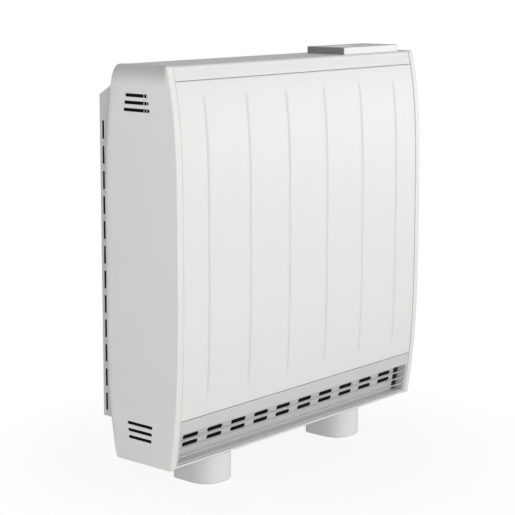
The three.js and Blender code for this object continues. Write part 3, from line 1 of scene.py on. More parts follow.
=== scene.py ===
import bmesh
import bpy
import numpy as np
from mathutils.geometry import tessellate_polygon
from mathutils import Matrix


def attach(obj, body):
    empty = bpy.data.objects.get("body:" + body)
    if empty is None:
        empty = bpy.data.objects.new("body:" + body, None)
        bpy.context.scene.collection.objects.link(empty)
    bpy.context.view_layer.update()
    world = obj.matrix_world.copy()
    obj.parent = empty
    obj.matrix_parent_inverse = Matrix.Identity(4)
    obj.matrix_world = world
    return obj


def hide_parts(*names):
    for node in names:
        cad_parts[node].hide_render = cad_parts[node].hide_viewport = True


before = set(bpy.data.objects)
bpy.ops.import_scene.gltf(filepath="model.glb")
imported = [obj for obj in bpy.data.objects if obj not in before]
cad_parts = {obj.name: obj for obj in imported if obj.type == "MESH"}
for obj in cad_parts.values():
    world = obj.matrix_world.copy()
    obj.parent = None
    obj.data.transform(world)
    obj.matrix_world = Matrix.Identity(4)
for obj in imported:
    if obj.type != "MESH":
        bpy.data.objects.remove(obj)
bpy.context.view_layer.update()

# ---------------------------------------------------------------- bricks
# Eight heavy bricks, pressed from iron oxide and fired. They stand in two layers round the
# heating elements and hold the heat.


def node(tree, kind, inputs=None, **settings):
    """A shader node with its settings. An input is given as a value, or as the socket that feeds it."""
    made = tree.nodes.new("ShaderNode" + kind)
    for name, value in settings.items():
        setattr(made, name, value)
    for name, value in (inputs or {}).items():
        if isinstance(value, bpy.types.NodeSocket):
            tree.links.new(value, made.inputs[name])
        else:
            made.inputs[name].default_value = value
    return made


COLOUR_A, COLOUR_B, COLOUR_OUT = 6, 7, 2


def mix(tree, share, low, high, blend="MIX"):
    """Two colours mixed by a share from 0 to 1."""
    made = node(tree, "Mix", {0: share, COLOUR_A: low, COLOUR_B: high}, data_type="RGBA", blend_type=blend)
    return made.outputs[COLOUR_OUT]


def maths(tree, operation, first, second=0.0, clamp=False):
    """One step of arithmetic on two values."""
    made = node(tree, "Math", {0: first, 1: second}, operation=operation, use_clamp=clamp)
    return made.outputs[0]


def ramp(tree, value, start, stop, low=0.0, high=1.0, **settings):
    """A value's way from start to stop, as a number from low to high that is held at both ends."""
    limits = {"Value": value, "From Min": start, "From Max": stop, "To Min": low, "To Max": high}
    return node(tree, "MapRange", limits, **settings).outputs[0]


def here(tree):
    """The place on the piece, in metres from the heater's origin."""
    return node(tree, "TexCoord").outputs["Object"]


def axes(tree):
    """That place as X, Y and Z."""
    return node(tree, "SeparateXYZ", {0: here(tree)}).outputs


def new_group(name, inputs, outputs):
    """An empty node group with named inputs and outputs, and its two end nodes."""
    tree = bpy.data.node_groups.new(name, "ShaderNodeTree")
    for socket, kind, value in inputs:
        made = tree.interface.new_socket(socket, in_out="INPUT", socket_type="NodeSocket" + kind)
        made.default_value = value
    for socket, kind in outputs:
        tree.interface.new_socket(socket, in_out="OUTPUT", socket_type="NodeSocket" + kind)
    return tree, tree.nodes.new("NodeGroupInput").outputs, tree.nodes.new("NodeGroupOutput").inputs


def tone_group():
    """Cloudy variation of a colour: the colour times one minus the amount times a soft noise."""
    inputs = [("Color", "Color", (1, 1, 1, 1)), ("Scale", "Float", 20.0), ("Amount", "Float", 0.1)]
    tree, given, out = new_group("tone", inputs, [("Color", "Color"), ("Mask", "Float")])
    place = here(tree)
    noise = node(tree, "TexNoise", {"Vector": place, "Scale": given["Scale"], "Detail": 4.0})
    mask = ramp(tree, noise.outputs[0], 0.3, 0.7)
    shade = maths(tree, "SUBTRACT", 1.0, maths(tree, "MULTIPLY", mask, given["Amount"]))
    tree.links.new(mix(tree, 1.0, given["Color"], shade, "MULTIPLY"), out["Color"])
    tree.links.new(mask, out["Mask"])
    return tree


def grain_group():
    """Fine relief of a skin, as a height, and a roughness that swings about its middle value with it."""
    inputs = [("Scale", "Float", 900.0), ("Roughness", "Float", 0.4), ("Swing", "Float", 0.1)]
    tree, given, out = new_group("grain", inputs, [("Height", "Float"), ("Roughness", "Float")])
    place = here(tree)
    noise = node(tree, "TexNoise", {"Vector": place, "Scale": given["Scale"], "Detail": 3.0}).outputs[0]
    coarse = maths(tree, "MULTIPLY", given["Scale"], 0.07)
    cloud = node(tree, "TexNoise", {"Vector": place, "Scale": coarse, "Detail": 2.0}).outputs[0]
    swing = maths(tree, "MULTIPLY", maths(tree, "SUBTRACT", cloud, 0.5), given["Swing"])
    tree.links.new(noise, out["Height"])
    tree.links.new(maths(tree, "ADD", given["Roughness"], swing, clamp=True), out["Roughness"])
    return tree


def dust_group():
    """A thin film of dust on faces that look up: greyer and duller there, in patches."""
    inputs = [("Color", "Color", (1, 1, 1, 1)), ("Roughness", "Float", 0.5), ("Amount", "Float", 0.1)]
    tree, given, out = new_group("dust", inputs, [("Color", "Color"), ("Roughness", "Float")])
    place = here(tree)
    facing = node(tree, "SeparateXYZ", {0: node(tree, "NewGeometry").outputs["Normal"]}).outputs["Z"]
    patches = node(tree, "TexNoise", {"Vector": place, "Scale": 35.0, "Detail": 5.0}).outputs[0]
    lying = maths(tree, "MULTIPLY", maths(tree, "POWER", maths(tree, "MAXIMUM", facing, 0.0), 2.0), patches)
    share = maths(tree, "MULTIPLY", lying, given["Amount"], clamp=True)
    tree.links.new(mix(tree, share, given["Color"], (0.44, 0.42, 0.38, 1)), out["Color"])
    tree.links.new(maths(tree, "ADD", given["Roughness"], share, clamp=True), out["Roughness"])
    return tree


TONE, GRAIN, DUST = tone_group(), grain_group(), dust_group()


def grouped(tree, group, inputs):
    """One of the groups above, placed in a material with its own values."""
    return node(tree, "Group", inputs, node_tree=group).outputs


def new_material(name):
    """An empty material, its node tree and its shader."""
    material = bpy.data.materials.new(name)
    material.use_nodes = True
    return material, material.node_tree, material.node_tree.nodes["Principled BSDF"]


def finish(name, colour, roughness, tone=(20.0, 0.05), grain=(900.0, 0.02), swing=0.1, dust=0.0, **shader):
    """A finish: a colour with cloudy tone and dust, and a fine grain in its gloss and its relief, in mm."""
    material, tree, surface = new_material(name)
    toned = grouped(tree, TONE, {"Color": (*colour, 1), "Scale": tone[0], "Amount": tone[1]})
    skin = grouped(tree, GRAIN, {"Scale": grain[0], "Roughness": roughness, "Swing": swing})
    dusty = grouped(tree, DUST, {"Color": toned["Color"], "Roughness": skin["Roughness"], "Amount": dust})
    relief = node(tree, "Bump", {"Height": skin["Height"], "Distance": grain[1] / 1000})
    tree.links.new(dusty["Color"], surface.inputs["Base Color"])
    tree.links.new(dusty["Roughness"], surface.inputs["Roughness"])
    tree.links.new(relief.outputs["Normal"], surface.inputs["Normal"])
    for socket, value in shader.items():
        surface.inputs[socket.replace("_", " ")].default_value = value
    return material


def recolour(material, change):
    """Puts one more layer between a finish's colour and its shader."""
    tree = material.node_tree
    link = tree.nodes["Principled BSDF"].inputs["Base Color"].links[0]
    tree.links.new(change(tree, link.from_socket), link.to_socket)
    return material


def dress(nodes, material):
    """Gives nodes of the frame a finish in their own material slots."""
    for name in nodes:
        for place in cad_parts[name].material_slots:
            place.material = material


def speckle(scale, limits, colour):
    """Small specks of another colour, where a cell noise lies between two limits."""

    def change(tree, base):
        place = here(tree)
        cells = node(tree, "TexVoronoi", {"Vector": place, "Scale": scale}).outputs["Distance"]
        return mix(tree, ramp(tree, cells, *limits, 1.0, 0.0), base, (*colour, 1))

    return change


brick = finish("fired_brick", (0.105, 0.048, 0.03), 0.85, (18, 0.35), (260, 0.25), 0.12, 0.3)
recolour(brick, speckle(420.0, (0.10, 0.16), (0.30, 0.16, 0.10)))
BRICKS = [f"{row}_brick_{layer}_{place}" for row in ("front", "rear") for layer in (1, 2) for place in (1, 2)]
dress(BRICKS, brick)

# ---------------------------------------------------------------- heating elements
# Mineral-filled steel tubes, bent into hairpins between the brick layers, and a shorter one in
# the air duct. Heat has turned the steel brown and straw-coloured.


def heat_tint(tree, base):
    """Straw-coloured bands, in soft clouds."""
    place = here(tree)
    bands = node(tree, "TexNoise", {"Vector": place, "Scale": 26.0, "Detail": 2.0}).outputs[0]
    straw = ramp(tree, bands, 0.45, 0.65)
    return mix(tree, straw, base, (0.24, 0.16, 0.08, 1))


sheath = finish("heated_steel", (0.15, 0.135, 0.12), 0.5, (30, 0.3), (1500, 0.01), 0.2, Metallic=0.85)
dress(["heating_element_1", "heating_element_2", "boost_element"], recolour(sheath, heat_tint))

# ---------------------------------------------------------------- insulation
# Pressed boards of mineral fibre on all six sides of the brick stack, dusty and soft at the edges.


def fibres(tree, base):
    """Pale strands: a noise that is drawn out level and packed close in height."""
    place = here(tree)
    turned = node(tree, "Mapping", {"Vector": place, "Scale": (60.0, 60.0, 900.0)}).outputs[0]
    strands = node(tree, "TexNoise", {"Vector": turned, "Scale": 1.0, "Detail": 6.0}).outputs[0]
    return mix(tree, maths(tree, "MULTIPLY", strands, 0.6), base, (0.66, 0.60, 0.45, 1))


board = finish("fibre_board", (0.50, 0.42, 0.26), 0.95, (12, 0.25), (420, 0.3), 0.05, 0.2)
BOARDS = [f"{side}_insulation" for side in ("front", "rear", "left", "right", "top", "base")]
dress(BOARDS, recolour(board, fibres))

# ---------------------------------------------------------------- core case and sheet steel
# Zinc-coated sheet, folded and screwed: the case round the core and its cover, the two channels
# that carry it, the side frames and the fan housing. The zinc shows its flower pattern.


def spangle(tree, base):
    """The flowers of zinc: cells, each a little lighter or darker than the sheet."""
    place = here(tree)
    flowers = node(tree, "TexVoronoi", {"Vector": place, "Scale": 75.0}).outputs["Color"]
    grey = node(tree, "RGBToBW", {0: flowers}).outputs[0]
    light = ramp(tree, grey, 0.0, 1.0, 0.78, 1.2)
    return mix(tree, 1.0, base, light, "MULTIPLY")


zinc = finish("zinc_sheet", (0.44, 0.46, 0.47), 0.42, (25, 0.15), (700, 0.01), 0.25, 0.25, Metallic=0.9)
recolour(zinc, spangle)
dress(["core_case", "core_cover", "left_core_support", "right_core_support"], zinc)
dress(["left_side_frame", "right_side_frame", "fan_housing"], zinc)

# ---------------------------------------------------------------- fan and mixing flap
# A long drum fan of rolled aluminium on a steel shaft, its motor and bush, and the flap that
# mixes cool air into the hot, turned by a small geared actuator.

BRIGHT = (0.62, 0.64, 0.66)
aluminium = finish("rolled_aluminium", BRIGHT, 0.35, (40, 0.1), (1800, 0.006), 0.2, 0.15, Metallic=1.0)
steel = finish("zinc_plated_steel", (0.48, 0.48, 0.46), 0.32, (60, 0.15), (1400, 0.006), 0.2, Metallic=1.0)
black = finish("black_moulding", (0.045, 0.045, 0.045), 0.5, (30, 0.2), (1600, 0.02), 0.15, 0.3)
dress(["fan_impeller", "mixing_flap"], aluminium)
dress(["fan_shaft", "motor_rotor", "fan_bearing"], steel)
dress(["fan_motor", "flap_actuator"], black)

# ---------------------------------------------------------------- wiring bay
# The power board with its relays, the terminal block, the over-heat cut-out with its reset pin,
# and the gland for the supply cable. The board is green laminate with tinned tracks.


def tracks(tree, base):
    """Pale tracks: thin lines between the cells of a square lattice, left out in patches."""
    place = here(tree)
    lattice = node(tree, "TexBrick", {"Vector": place, "Scale": 180.0, "Mortar Size": 0.03})
    patch = node(tree, "TexNoise", {"Vector": place, "Scale": 60.0}).outputs[0]
    kept = maths(tree, "GREATER_THAN", patch, 0.48)
    lines = maths(tree, "MULTIPLY", lattice.outputs["Fac"], kept)
    return mix(tree, lines, base, (0.16, 0.42, 0.2, 1))


laminate = finish("green_laminate", (0.02, 0.13, 0.045), 0.38, (40, 0.2), (900, 0.01), 0.1, 0.2)
dress(["power_board"], recolour(laminate, tracks))
dress(["terminal_block", "thermal_cutout", "cutout_reset_button"], black)
gland_black = finish("gland_moulding", (0.05, 0.05, 0.05), 0.45, (50, 0.15), (1800, 0.015), 0.15, 0.3)
dress(["cable_gland"], gland_black)

# ---------------------------------------------------------------- rear and base panels
# Bowed sheet that closes the casing behind, and the tray under it with the air inlet. Both have
# the casing's white enamel.

BOW_MIDDLE, BOW_REACH = 387.0, 329.0
FRONT_Y, FRONT_BOW = -92.4, 21.0
REAR_Y, REAR_BOW = 74.5, 22.0
WALL_Y = 93.0
HALF = 330.0
PANEL_HALF = 316.8
LOW, HIGH = 58.0, 716.0
CORNER = 6.0
CROWN_RUN, CROWN_DROP = 18.0, 32.0
SHEET, BEND, FLANGE = 1.2, 2.2, 2.7
SEAM = 0.5
RIM_CLEAR, PANEL_ROWS = 4.0, 120
PANEL_COLUMNS = np.linspace(-312, 312, 32)
WELD = 2e-6


def bow(z, above, below):
    """Share of the bow at a height: the distance from the middle over its reach, to a power."""
    t = (z - BOW_MIDDLE) / BOW_REACH
    return np.where(t > 0, np.abs(t) ** above, np.abs(t) ** below)


def front_at(z):
    """Y of the casing's front at a height: its foremost place plus the bow."""
    return FRONT_Y + FRONT_BOW * bow(np.asarray(z, float), 4, 3)


def rear_at(z):
    """Y of the casing's rear at a height: its hindmost place less the bow."""
    return REAR_Y - REAR_BOW * bow(np.asarray(z, float), 3, 5)


def quads(rows, columns, wrap=False):
    """Faces between neighbouring points of a grid. With wrap, the last column joins the first."""
    r, c = np.meshgrid(np.arange(rows - 1), np.arange(columns if wrap else columns - 1), indexing="ij")
    n = (c + 1) % columns
    corners = [r * columns + c, r * columns + n, (r + 1) * columns + n, (r + 1) * columns + c]
    return np.stack(corners, -1).reshape(-1, 4)


def loft(rings):
    """The skin through a row of closed loops that have as many points each."""
    points = np.stack(rings)
    return points.reshape(-1, 3), quads(len(points), points.shape[1], wrap=True)


def flat(loops):
    """A level face inside the first loop and outside the others."""
    return np.concatenate(loops), np.array(tessellate_polygon([loop.tolist() for loop in loops]))


def plate(face, back):
    """A thin closed body: a grid of points, the grid behind it, and strips that join their borders."""
    rows, columns = face.shape[:2]
    number = np.arange(rows * columns).reshape(rows, columns)
    border = np.concatenate([number[0], number[1:, -1], number[-1, -2::-1], number[-2:0:-1, 0]])
    ahead = np.roll(border, -1)
    edge = np.stack([border, ahead, ahead + number.size, border + number.size], -1)
    skin = quads(rows, columns)
    faces = np.concatenate([skin, skin[:, ::-1] + number.size, edge])
    return np.concatenate([face.reshape(-1, 3), back.reshape(-1, 3)]), faces


def build(name, patches, material, body="casing", replaced=(), sharp=32.0):
    """One closed piece from patches of points in millimetres and faces. Shared edges are welded."""
    points, faces, count = [], [], 0
    for places, corners in patches:
        points.append(places)
        faces += (corners + count).tolist()
        count += len(places)
    mesh = bpy.data.meshes.new(name)
    mesh.from_pydata(np.concatenate(points) / 1000, [], faces)
    work = bmesh.new()
    work.from_mesh(mesh)
    bmesh.ops.remove_doubles(work, verts=work.verts, dist=WELD)
    bmesh.ops.recalc_face_normals(work, faces=work.faces)
    work.to_mesh(mesh)
    work.free()
    mesh.polygons.foreach_set("use_smooth", np.ones(len(mesh.polygons), bool))
    mesh.set_sharp_from_angle(angle=np.radians(sharp))
    mesh.materials.append(material)
    piece = bpy.data.objects.new(name, mesh)
    bpy.context.scene.collection.objects.link(piece)
    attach(piece, body)
    if replaced:
        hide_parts(*replaced)
    return piece


ENAMEL = ((0.785, 0.785, 0.78), 0.45, (6, 0.015), (520, 0.012), 0.06, 0.03)
enamel = finish("white_enamel", *ENAMEL)


def fallen(distance, radius):
    """How far a rounded edge has fallen back at a distance from it: a quarter circle."""
    short = np.clip(radius - distance, 0, radius)
    return radius - np.sqrt(np.maximum(radius**2 - short**2, 0))


def folded(low, high, middle):
    """Places across a sheet whose two edges are bent back, and how far each lies behind the face.
    The bend is a quarter circle that ends in a flange. First the outer skin, then the inner one."""
    turn = np.linspace(0, np.pi / 2, 8)
    skins = []
    for radius, at_rest in ((BEND, 0.0), (BEND - SHEET, SHEET)):
        along = np.append(BEND - radius, BEND - radius * np.cos(turn))
        behind = np.append(FLANGE, BEND - radius * np.sin(turn))
        places = np.concatenate([low + along, middle, high - along[::-1]])
        skins.append((places, np.concatenate([behind, np.full(len(middle), at_rest), behind[::-1]])))
    return skins


def bowed_panel(low, high, line, outward, dent=lambda x, z: 0 * x, columns=()):
    """A sheet that follows one side of the casing: the bow at each height, plus dents, its rim bent back."""
    middle = np.unique(np.round(np.concatenate([PANEL_COLUMNS, *columns]), 6))
    skins = []
    across = folded(-PANEL_HALF, PANEL_HALF, middle)
    upright = folded(low, high, np.linspace(low + RIM_CLEAR, high - RIM_CLEAR, PANEL_ROWS))
    for (x, aside), (z, above) in zip(across, upright):
        x, z = np.meshgrid(x, z)
        depth = np.maximum(aside[None], above[:, None]) + dent(x, z)
        skins.append(np.stack([x, line(z) - outward * depth, z], -1))
    return plate(*skins)


rear = bowed_panel(LOW + CORNER + SEAM, HIGH - CROWN_DROP, rear_at, 1)
build("rear_cover", [rear], enamel, replaced=["rear_panel"])
dress(["base_panel"], enamel)

# ---------------------------------------------------------------- rear panel screws
# Five zinc-plated pan-head screws hold the rear panel along its lower edge. Each head is turned
# and has a round socket.

SCREW_ROW, SCREW_HEIGHT = (-308.5, -154.0, 0.0, 154.0, 308.5), 86.0
HEAD = ((3.0, -0.6), (3.0, 0.4), (2.9, 0.8), (2.5, 1.2), (1.9, 1.4), (1.3, 1.45), (1.15, 1.35), (1.1, 0.6))


def arc(x, y, reach_x, reach_y, start, stop, steps):
    """Points along an oval arc between two angles in degrees."""
    turn = np.radians(np.linspace(start, stop, steps + 1))
    return np.stack([x + reach_x * np.cos(turn), y + reach_y * np.sin(turn)], -1)


def circle(x, y, radius, points):
    """Points evenly round a circle, with the first not repeated at the end."""
    return arc(x, y, radius, radius, 0, 360 - 360 / points, points - 1)


def closed(rings):
    """A skin through a row of loops, with its first and last loop filled."""
    return [loft(rings), flat([rings[0]]), flat([rings[-1]])]


def head_patches(x, z):
    """A head turned about Y: circles as wide and as far behind the sheet as its profile says."""
    plans = [(circle(x, z, radius, 24), float(rear_at(z)) + out) for radius, out in HEAD]
    return closed([np.column_stack([plan[:, 0], np.full(len(plan), y), plan[:, 1]]) for plan, y in plans])


heads = [part for x in SCREW_ROW for part in head_patches(x, SCREW_HEIGHT)]
build("rear_screws", heads, steel)

# ---------------------------------------------------------------- feet
# Two hollow moulded feet under the base, half oval at the front and nearly square behind, with a
# small round at the floor. Each is held by one screw, sunk in its sole.

FOOT_X, FOOT_HALF = 180.0, 40.0
FOOT_FRONT, FOOT_BACK, FOOT_NOSE = -53.0, 31.0, 46.0
FOOT_CORNER, FOOT_EDGE, FOOT_POWER = 7.0, 2.5, 0.8
FOOT_DRAW = 0.4
SCREW_POCKET, POCKET_TOP, SCREW_Y = 5.3, 5.9, -11.0
SIDES = (("left", -1), ("right", 1))

moulding = finish("foot_moulding", (0.80, 0.80, 0.785), 0.38, (15, 0.02), (1500, 0.012), 0.08, 0.03)


def foot_plan(inset):
    """The foot's outline from above, drawn in by an inset: half an oval whose cosine and sine are raised
    to a power, which makes it fuller, then two straight sides and corners."""
    reach = FOOT_HALF - inset
    side, back = reach - FOOT_CORNER, FOOT_BACK - inset - FOOT_CORNER
    turn = np.radians(np.linspace(-180, 0, 49))
    full = np.sign(np.cos(turn)) * np.abs(np.cos(turn)) ** FOOT_POWER
    deep = np.abs(np.sin(turn)) ** FOOT_POWER
    nose = np.stack([reach * full, FOOT_FRONT + FOOT_NOSE - (FOOT_NOSE - inset) * deep], -1)
    right = arc(side, back, FOOT_CORNER, FOOT_CORNER, 0, 90, 8)
    left = arc(-side, back, FOOT_CORNER, FOOT_CORNER, 90, 180, 8)
    return np.concatenate([nose, right, left])


def level(plan, z):
    """A loop given as (X, Y), laid at a height."""
    return np.column_stack([plan, np.full(len(plan), float(z))])


for name, side in SIDES:
    turn = np.linspace(0, np.pi / 2, 7)
    rings = [level(foot_plan(FOOT_EDGE * (1 - np.sin(a))), FOOT_EDGE * (1 - np.cos(a))) for a in turn]
    rings += [level(foot_plan(0), z) for z in (FOOT_EDGE + 1, LOW - 1)] + [level(foot_plan(FOOT_DRAW), LOW)]
    hole = circle(0, SCREW_Y, SCREW_POCKET, 24)
    pocket = [level(hole, 0), level(hole, POCKET_TOP)]
    patches = [loft(rings), flat([rings[0], pocket[0]]), loft(pocket), flat([pocket[1]]), flat([rings[-1]])]
    patches = [(points + [side * FOOT_X, 0, 0], faces) for points, faces in patches]
    build(f"{name}_moulded_foot", patches, moulding, replaced=[f"{name}_foot"])
dress(["left_foot_screw", "right_foot_screw"], steel)

# ---------------------------------------------------------------- wall spacer
# A shallow sheet steel box between the rear panel and the wall, with a sloping top, air slots in
# its two sides and keyholes for the wall screws.

SPACER_INNER, SLOTS_TOP, WALL_FACE = 319.4, 655.0, 0.8

spacer_paint = finish("spacer_paint", (0.62, 0.62, 0.61), 0.45, (8, 0.03), (600, 0.012), 0.08, 0.05)


def painted_shade_inside(tree, base):
    """Painted shade: the inside of the box is darkened to near black, as far up as the air slots reach."""
    place = axes(tree)
    inner = maths(tree, "LESS_THAN", maths(tree, "ABSOLUTE", place["X"]), SPACER_INNER / 1000)
    below = maths(tree, "LESS_THAN", place["Z"], SLOTS_TOP / 1000)
    before = maths(tree, "LESS_THAN", place["Y"], (WALL_Y - WALL_FACE) / 1000)
    share = maths(tree, "MULTIPLY", maths(tree, "MULTIPLY", inner, below), before)
    return mix(tree, share, base, (0.03, 0.03, 0.03, 1))


dress(["wall_spacer"], recolour(spacer_paint, painted_shade_inside))

# ---------------------------------------------------------------- outlet grille
# A light grey painted steel frame in the lower front: a plain band above the mouth, a lip below
# it, end walls and three level bars. A slotted plate of the same grey stands behind the bars,
# and behind its slots a near-black screen of fine wires, painted shade for the dark duct inside.

GRILLE_HALF, GRILLE_LOW, GRILLE_HIGH = 313.7, 64.0, 139.0
MOUTH_LOW, MOUTH_HIGH = 67.3, 117.0
RECESS, GRILLE_DEPTH, GRILLE_WALL = 1.0, 18.0, 2.0
FIN_TOPS, FIN_THICKNESS, FIN_DEPTH = (105.925, 93.05, 80.175), 1.8, 3.5
FIN_OVERLAP, BAND_EDGE, WALL_SETBACK = 0.5, 1.2, 0.8
STRIP_OVERLAP, STRIP_REACH, STRIP_DEPTH = 0.5, 0.4, 0.7

grey_paint = finish("grey_paint", (0.63, 0.635, 0.63), 0.36, (10, 0.03), (1300, 0.01), 0.08, 0.04)


def rounded(corners, radii, steps=5, support=0.3):
    """A closed outline from its corners, each turned with its own radius; no radius leaves a point.
    Every turn is a circle that touches both sides, with one more point on each side of it."""
    corners = np.asarray(corners, float)
    parts = []
    for before, corner, after, radius in zip(np.roll(corners, 1, 0), corners, np.roll(corners, -1, 0), radii):
        if not radius:
            parts.append(corner[None])
            continue
        a = (before - corner) / np.linalg.norm(before - corner)
        b = (after - corner) / np.linalg.norm(after - corner)
        half = np.arccos(np.clip(a @ b, -1, 1)) / 2
        reach = radius / np.tan(half)
        centre = corner + (a + b) / np.linalg.norm(a + b) * radius / np.sin(half)
        sweep = np.pi - 2 * half
        share = np.linspace(0, 1, steps + 1)[:, None]
        start, stop = corner + a * reach - centre, corner + b * reach - centre
        turn = centre + (np.sin((1 - share) * sweep) * start + np.sin(share * sweep) * stop) / np.sin(sweep)
        parts += [(corner + a * (reach + support))[None], turn, (corner + b * (reach + support))[None]]
    return np.concatenate(parts)


def prism(section, x0, x1):
    """A section in (Y, Z) carried along X, closed at both ends."""
    return closed([np.column_stack([np.full(len(section), float(x)), section]) for x in (x0, x1)])


def behind_front(low, high, near, far, steps):
    """A section that follows the front's bow between two heights, from one depth behind it to another."""
    z = np.linspace(low, high, steps)
    ahead, back = [np.stack([front_at(z) + depth, z], -1) for depth in (near, far)]
    return np.concatenate([ahead, back[::-1]])


def fin_section(z0, z1, nose=0.85):
    """A level bar in the front's bow, with a rounded front edge."""
    y0 = front_at((z0 + z1) / 2) + RECESS
    y1 = y0 + FIN_DEPTH
    return rounded([(y1, z0), (y1, z1), (y0, z1), (y0, z0)], (0, 0, nose, nose), support=0.2)


def band_section(low, high, mouth_is_low):
    """The band or the lip: a bowed front face, and a level wall back along the mouth's edge."""
    z = np.linspace(low, high, 9)
    outer = np.stack([front_at(z) + RECESS, z], -1)
    if mouth_is_low:
        mouth, wall, other = low, low + GRILLE_WALL, high
    else:
        outer = outer[::-1]
        mouth, wall, other = high, high - GRILLE_WALL, low
    deep = float(front_at(mouth)) + RECESS + GRILLE_DEPTH
    inner = [(float(front_at(height)) + RECESS + GRILLE_WALL, height) for height in (other, wall)]
    radii = [BAND_EDGE] + [0] * 7 + [BAND_EDGE] + [0] * 4
    return rounded([*outer, *inner, (deep, wall), (deep, mouth)], radii)


frame_parts = prism(band_section(MOUTH_HIGH, GRILLE_HIGH, True), -GRILLE_HALF, GRILLE_HALF)
frame_parts += prism(band_section(GRILLE_LOW, MOUTH_LOW, False), -GRILLE_HALF, GRILLE_HALF)
strip = behind_front(GRILLE_LOW, GRILLE_HIGH, RECESS, RECESS + STRIP_DEPTH, 24)
for side in (-1, 1):
    ends = sorted([side * (GRILLE_HALF - STRIP_OVERLAP), side * (PANEL_HALF + STRIP_REACH)])
    frame_parts += prism(strip, *ends)
build("grille_frame", frame_parts, grey_paint, replaced=["outlet_grille"])
wall = behind_front(GRILLE_LOW + 1, GRILLE_HIGH - 1, RECESS + WALL_SETBACK, RECESS + GRILLE_DEPTH, 12)
for name, side in SIDES:
    ends = sorted([side * GRILLE_HALF, side * (GRILLE_HALF - GRILLE_WALL)])
    build(f"{name}_grille_wall", prism(wall, *ends), grey_paint)
inner = GRILLE_HALF - GRILLE_WALL + FIN_OVERLAP
for i, top in enumerate(FIN_TOPS):
    fin = prism(fin_section(top - FIN_THICKNESS, top), -inner, inner)
    build(f"grille_fin_{i + 1}", fin, grey_paint)


def weave(tree, base):
    """Fine wires crossing at right angles."""
    place = here(tree)
    upright = node(tree, "Mapping", {"Vector": place, "Rotation": (np.pi / 2, 0.0, 0.0)}).outputs[0]
    cells = node(tree, "TexBrick", {"Vector": upright, "Scale": 700.0, "Mortar Size": 0.05}, offset=0.0)
    return mix(tree, cells.outputs["Fac"], base, (0.009, 0.009, 0.009, 1))


PLATE_GAP, PLATE_SHEET = 0.3, 1.2
SCREEN_HALF, SCREEN_LOW, SCREEN_HIGH = 295.0, 66.0, 118.0
SCREEN_BEHIND, SCREEN_THICKNESS = 0.5, 0.4
SHADE_BLACK = (0.004, 0.004, 0.004)
# Painted shade: a near-black wire screen stands behind the slots in place of the dark inside.
shade_screen = finish("shade_screen", SHADE_BLACK, 0.8, (60, 0.2), (900, 0.05), 0.1, 0.1, Specular_IOR_Level=0.1)
recolour(shade_screen, weave)
depth = RECESS + GRILLE_DEPTH + PLATE_GAP + PLATE_SHEET + SCREEN_BEHIND
screen = behind_front(SCREEN_LOW, SCREEN_HIGH, depth, depth + SCREEN_THICKNESS, 8)
build("slot_shade_screen", prism(screen, -SCREEN_HALF, SCREEN_HALF), shade_screen)
dress(["grille_back_plate"], grey_paint)

# ---------------------------------------------------------------- front and top panels
# Enamelled sheet steel. The front panel is bowed and has six upright grooves pressed into it,
# which run out softly at both ends. The top panel is folded down at the front and the rear.

GROOVE_PITCH, GROOVE_HALF, GROOVE_FLOOR, GROOVE_DEPTH = 102.0, 3.4, 0.5, 2.4
GROOVE_LOW, GROOVE_HIGH, GROOVE_FADE = 168.0, 670.0, 16.0
GROOVE_MARGIN, GROOVE_LINE, GROOVE_ASIDE, GROOVE_LINE_FADE = 0.6, 1.2, 0.7, 20.0
HOOD_LIP = 1.5
PANEL_LOW, PANEL_HIGH = 139.9, 691.3
GROOVES = (np.arange(6) - 2.5) * GROOVE_PITCH


def smooth(share):
    """A soft S from 0 to 1: the square of a share times three less twice the share."""
    share = np.clip(share, 0, 1)
    return share * share * (3 - 2 * share)


def grooves(x, z):
    """Depth of the grooves: a soft trough across, faded in and out along its length."""
    across = np.abs(x[..., None] - GROOVES).min(-1)
    trough = smooth((GROOVE_HALF - across) / (GROOVE_HALF - GROOVE_FLOOR))
    return GROOVE_DEPTH * trough * smooth(np.minimum(z - GROOVE_LOW, GROOVE_HIGH - z) / GROOVE_FADE)


reach = GROOVE_HALF + GROOVE_MARGIN
near = [x + np.linspace(-reach, reach, 25) for x in GROOVES]


def groove_shade(tree, base):
    """Painted shade in the floor of each groove: a thin darker line a little to the left of its middle."""
    place = axes(tree)
    pitches = maths(tree, "MULTIPLY", place["X"], 1000 / GROOVE_PITCH)
    count = maths(tree, "ADD", pitches, 0.5 + GROOVE_ASIDE / GROOVE_PITCH)
    off = maths(tree, "ABSOLUTE", maths(tree, "SUBTRACT", count, maths(tree, "ROUND", count)))
    line = ramp(tree, off, 0.0, GROOVE_LINE / GROOVE_PITCH, 1.0, 0.0)
    low = ramp(tree, place["Z"], GROOVE_LOW / 1000, (GROOVE_LOW + GROOVE_LINE_FADE) / 1000)
    high = ramp(tree, place["Z"], GROOVE_HIGH / 1000, (GROOVE_HIGH - GROOVE_LINE_FADE) / 1000)
    kept = maths(tree, "MULTIPLY", line, maths(tree, "MULTIPLY", low, high))
    return mix(tree, maths(tree, "MULTIPLY", kept, 0.95), base, (0.3, 0.3, 0.3, 1))


# The front panel's enamel carries painted shade along the floor of its grooves.
groove_shaded_enamel = finish("groove_shaded_enamel", *ENAMEL)
recolour(groove_shaded_enamel, groove_shade)
front = bowed_panel(PANEL_LOW, PANEL_HIGH, front_at, -1, grooves, near)
build("grooved_front", [front], groove_shaded_enamel, replaced=["front_panel"])


def turned(start, corner, stop, steps=10):
    """A soft bend from start to stop, drawn towards the corner between them."""
    s = np.linspace(0, 1, steps + 1)[:, None]
    return (1 - s) ** 2 * start + 2 * s * (1 - s) * corner + s**2 * stop


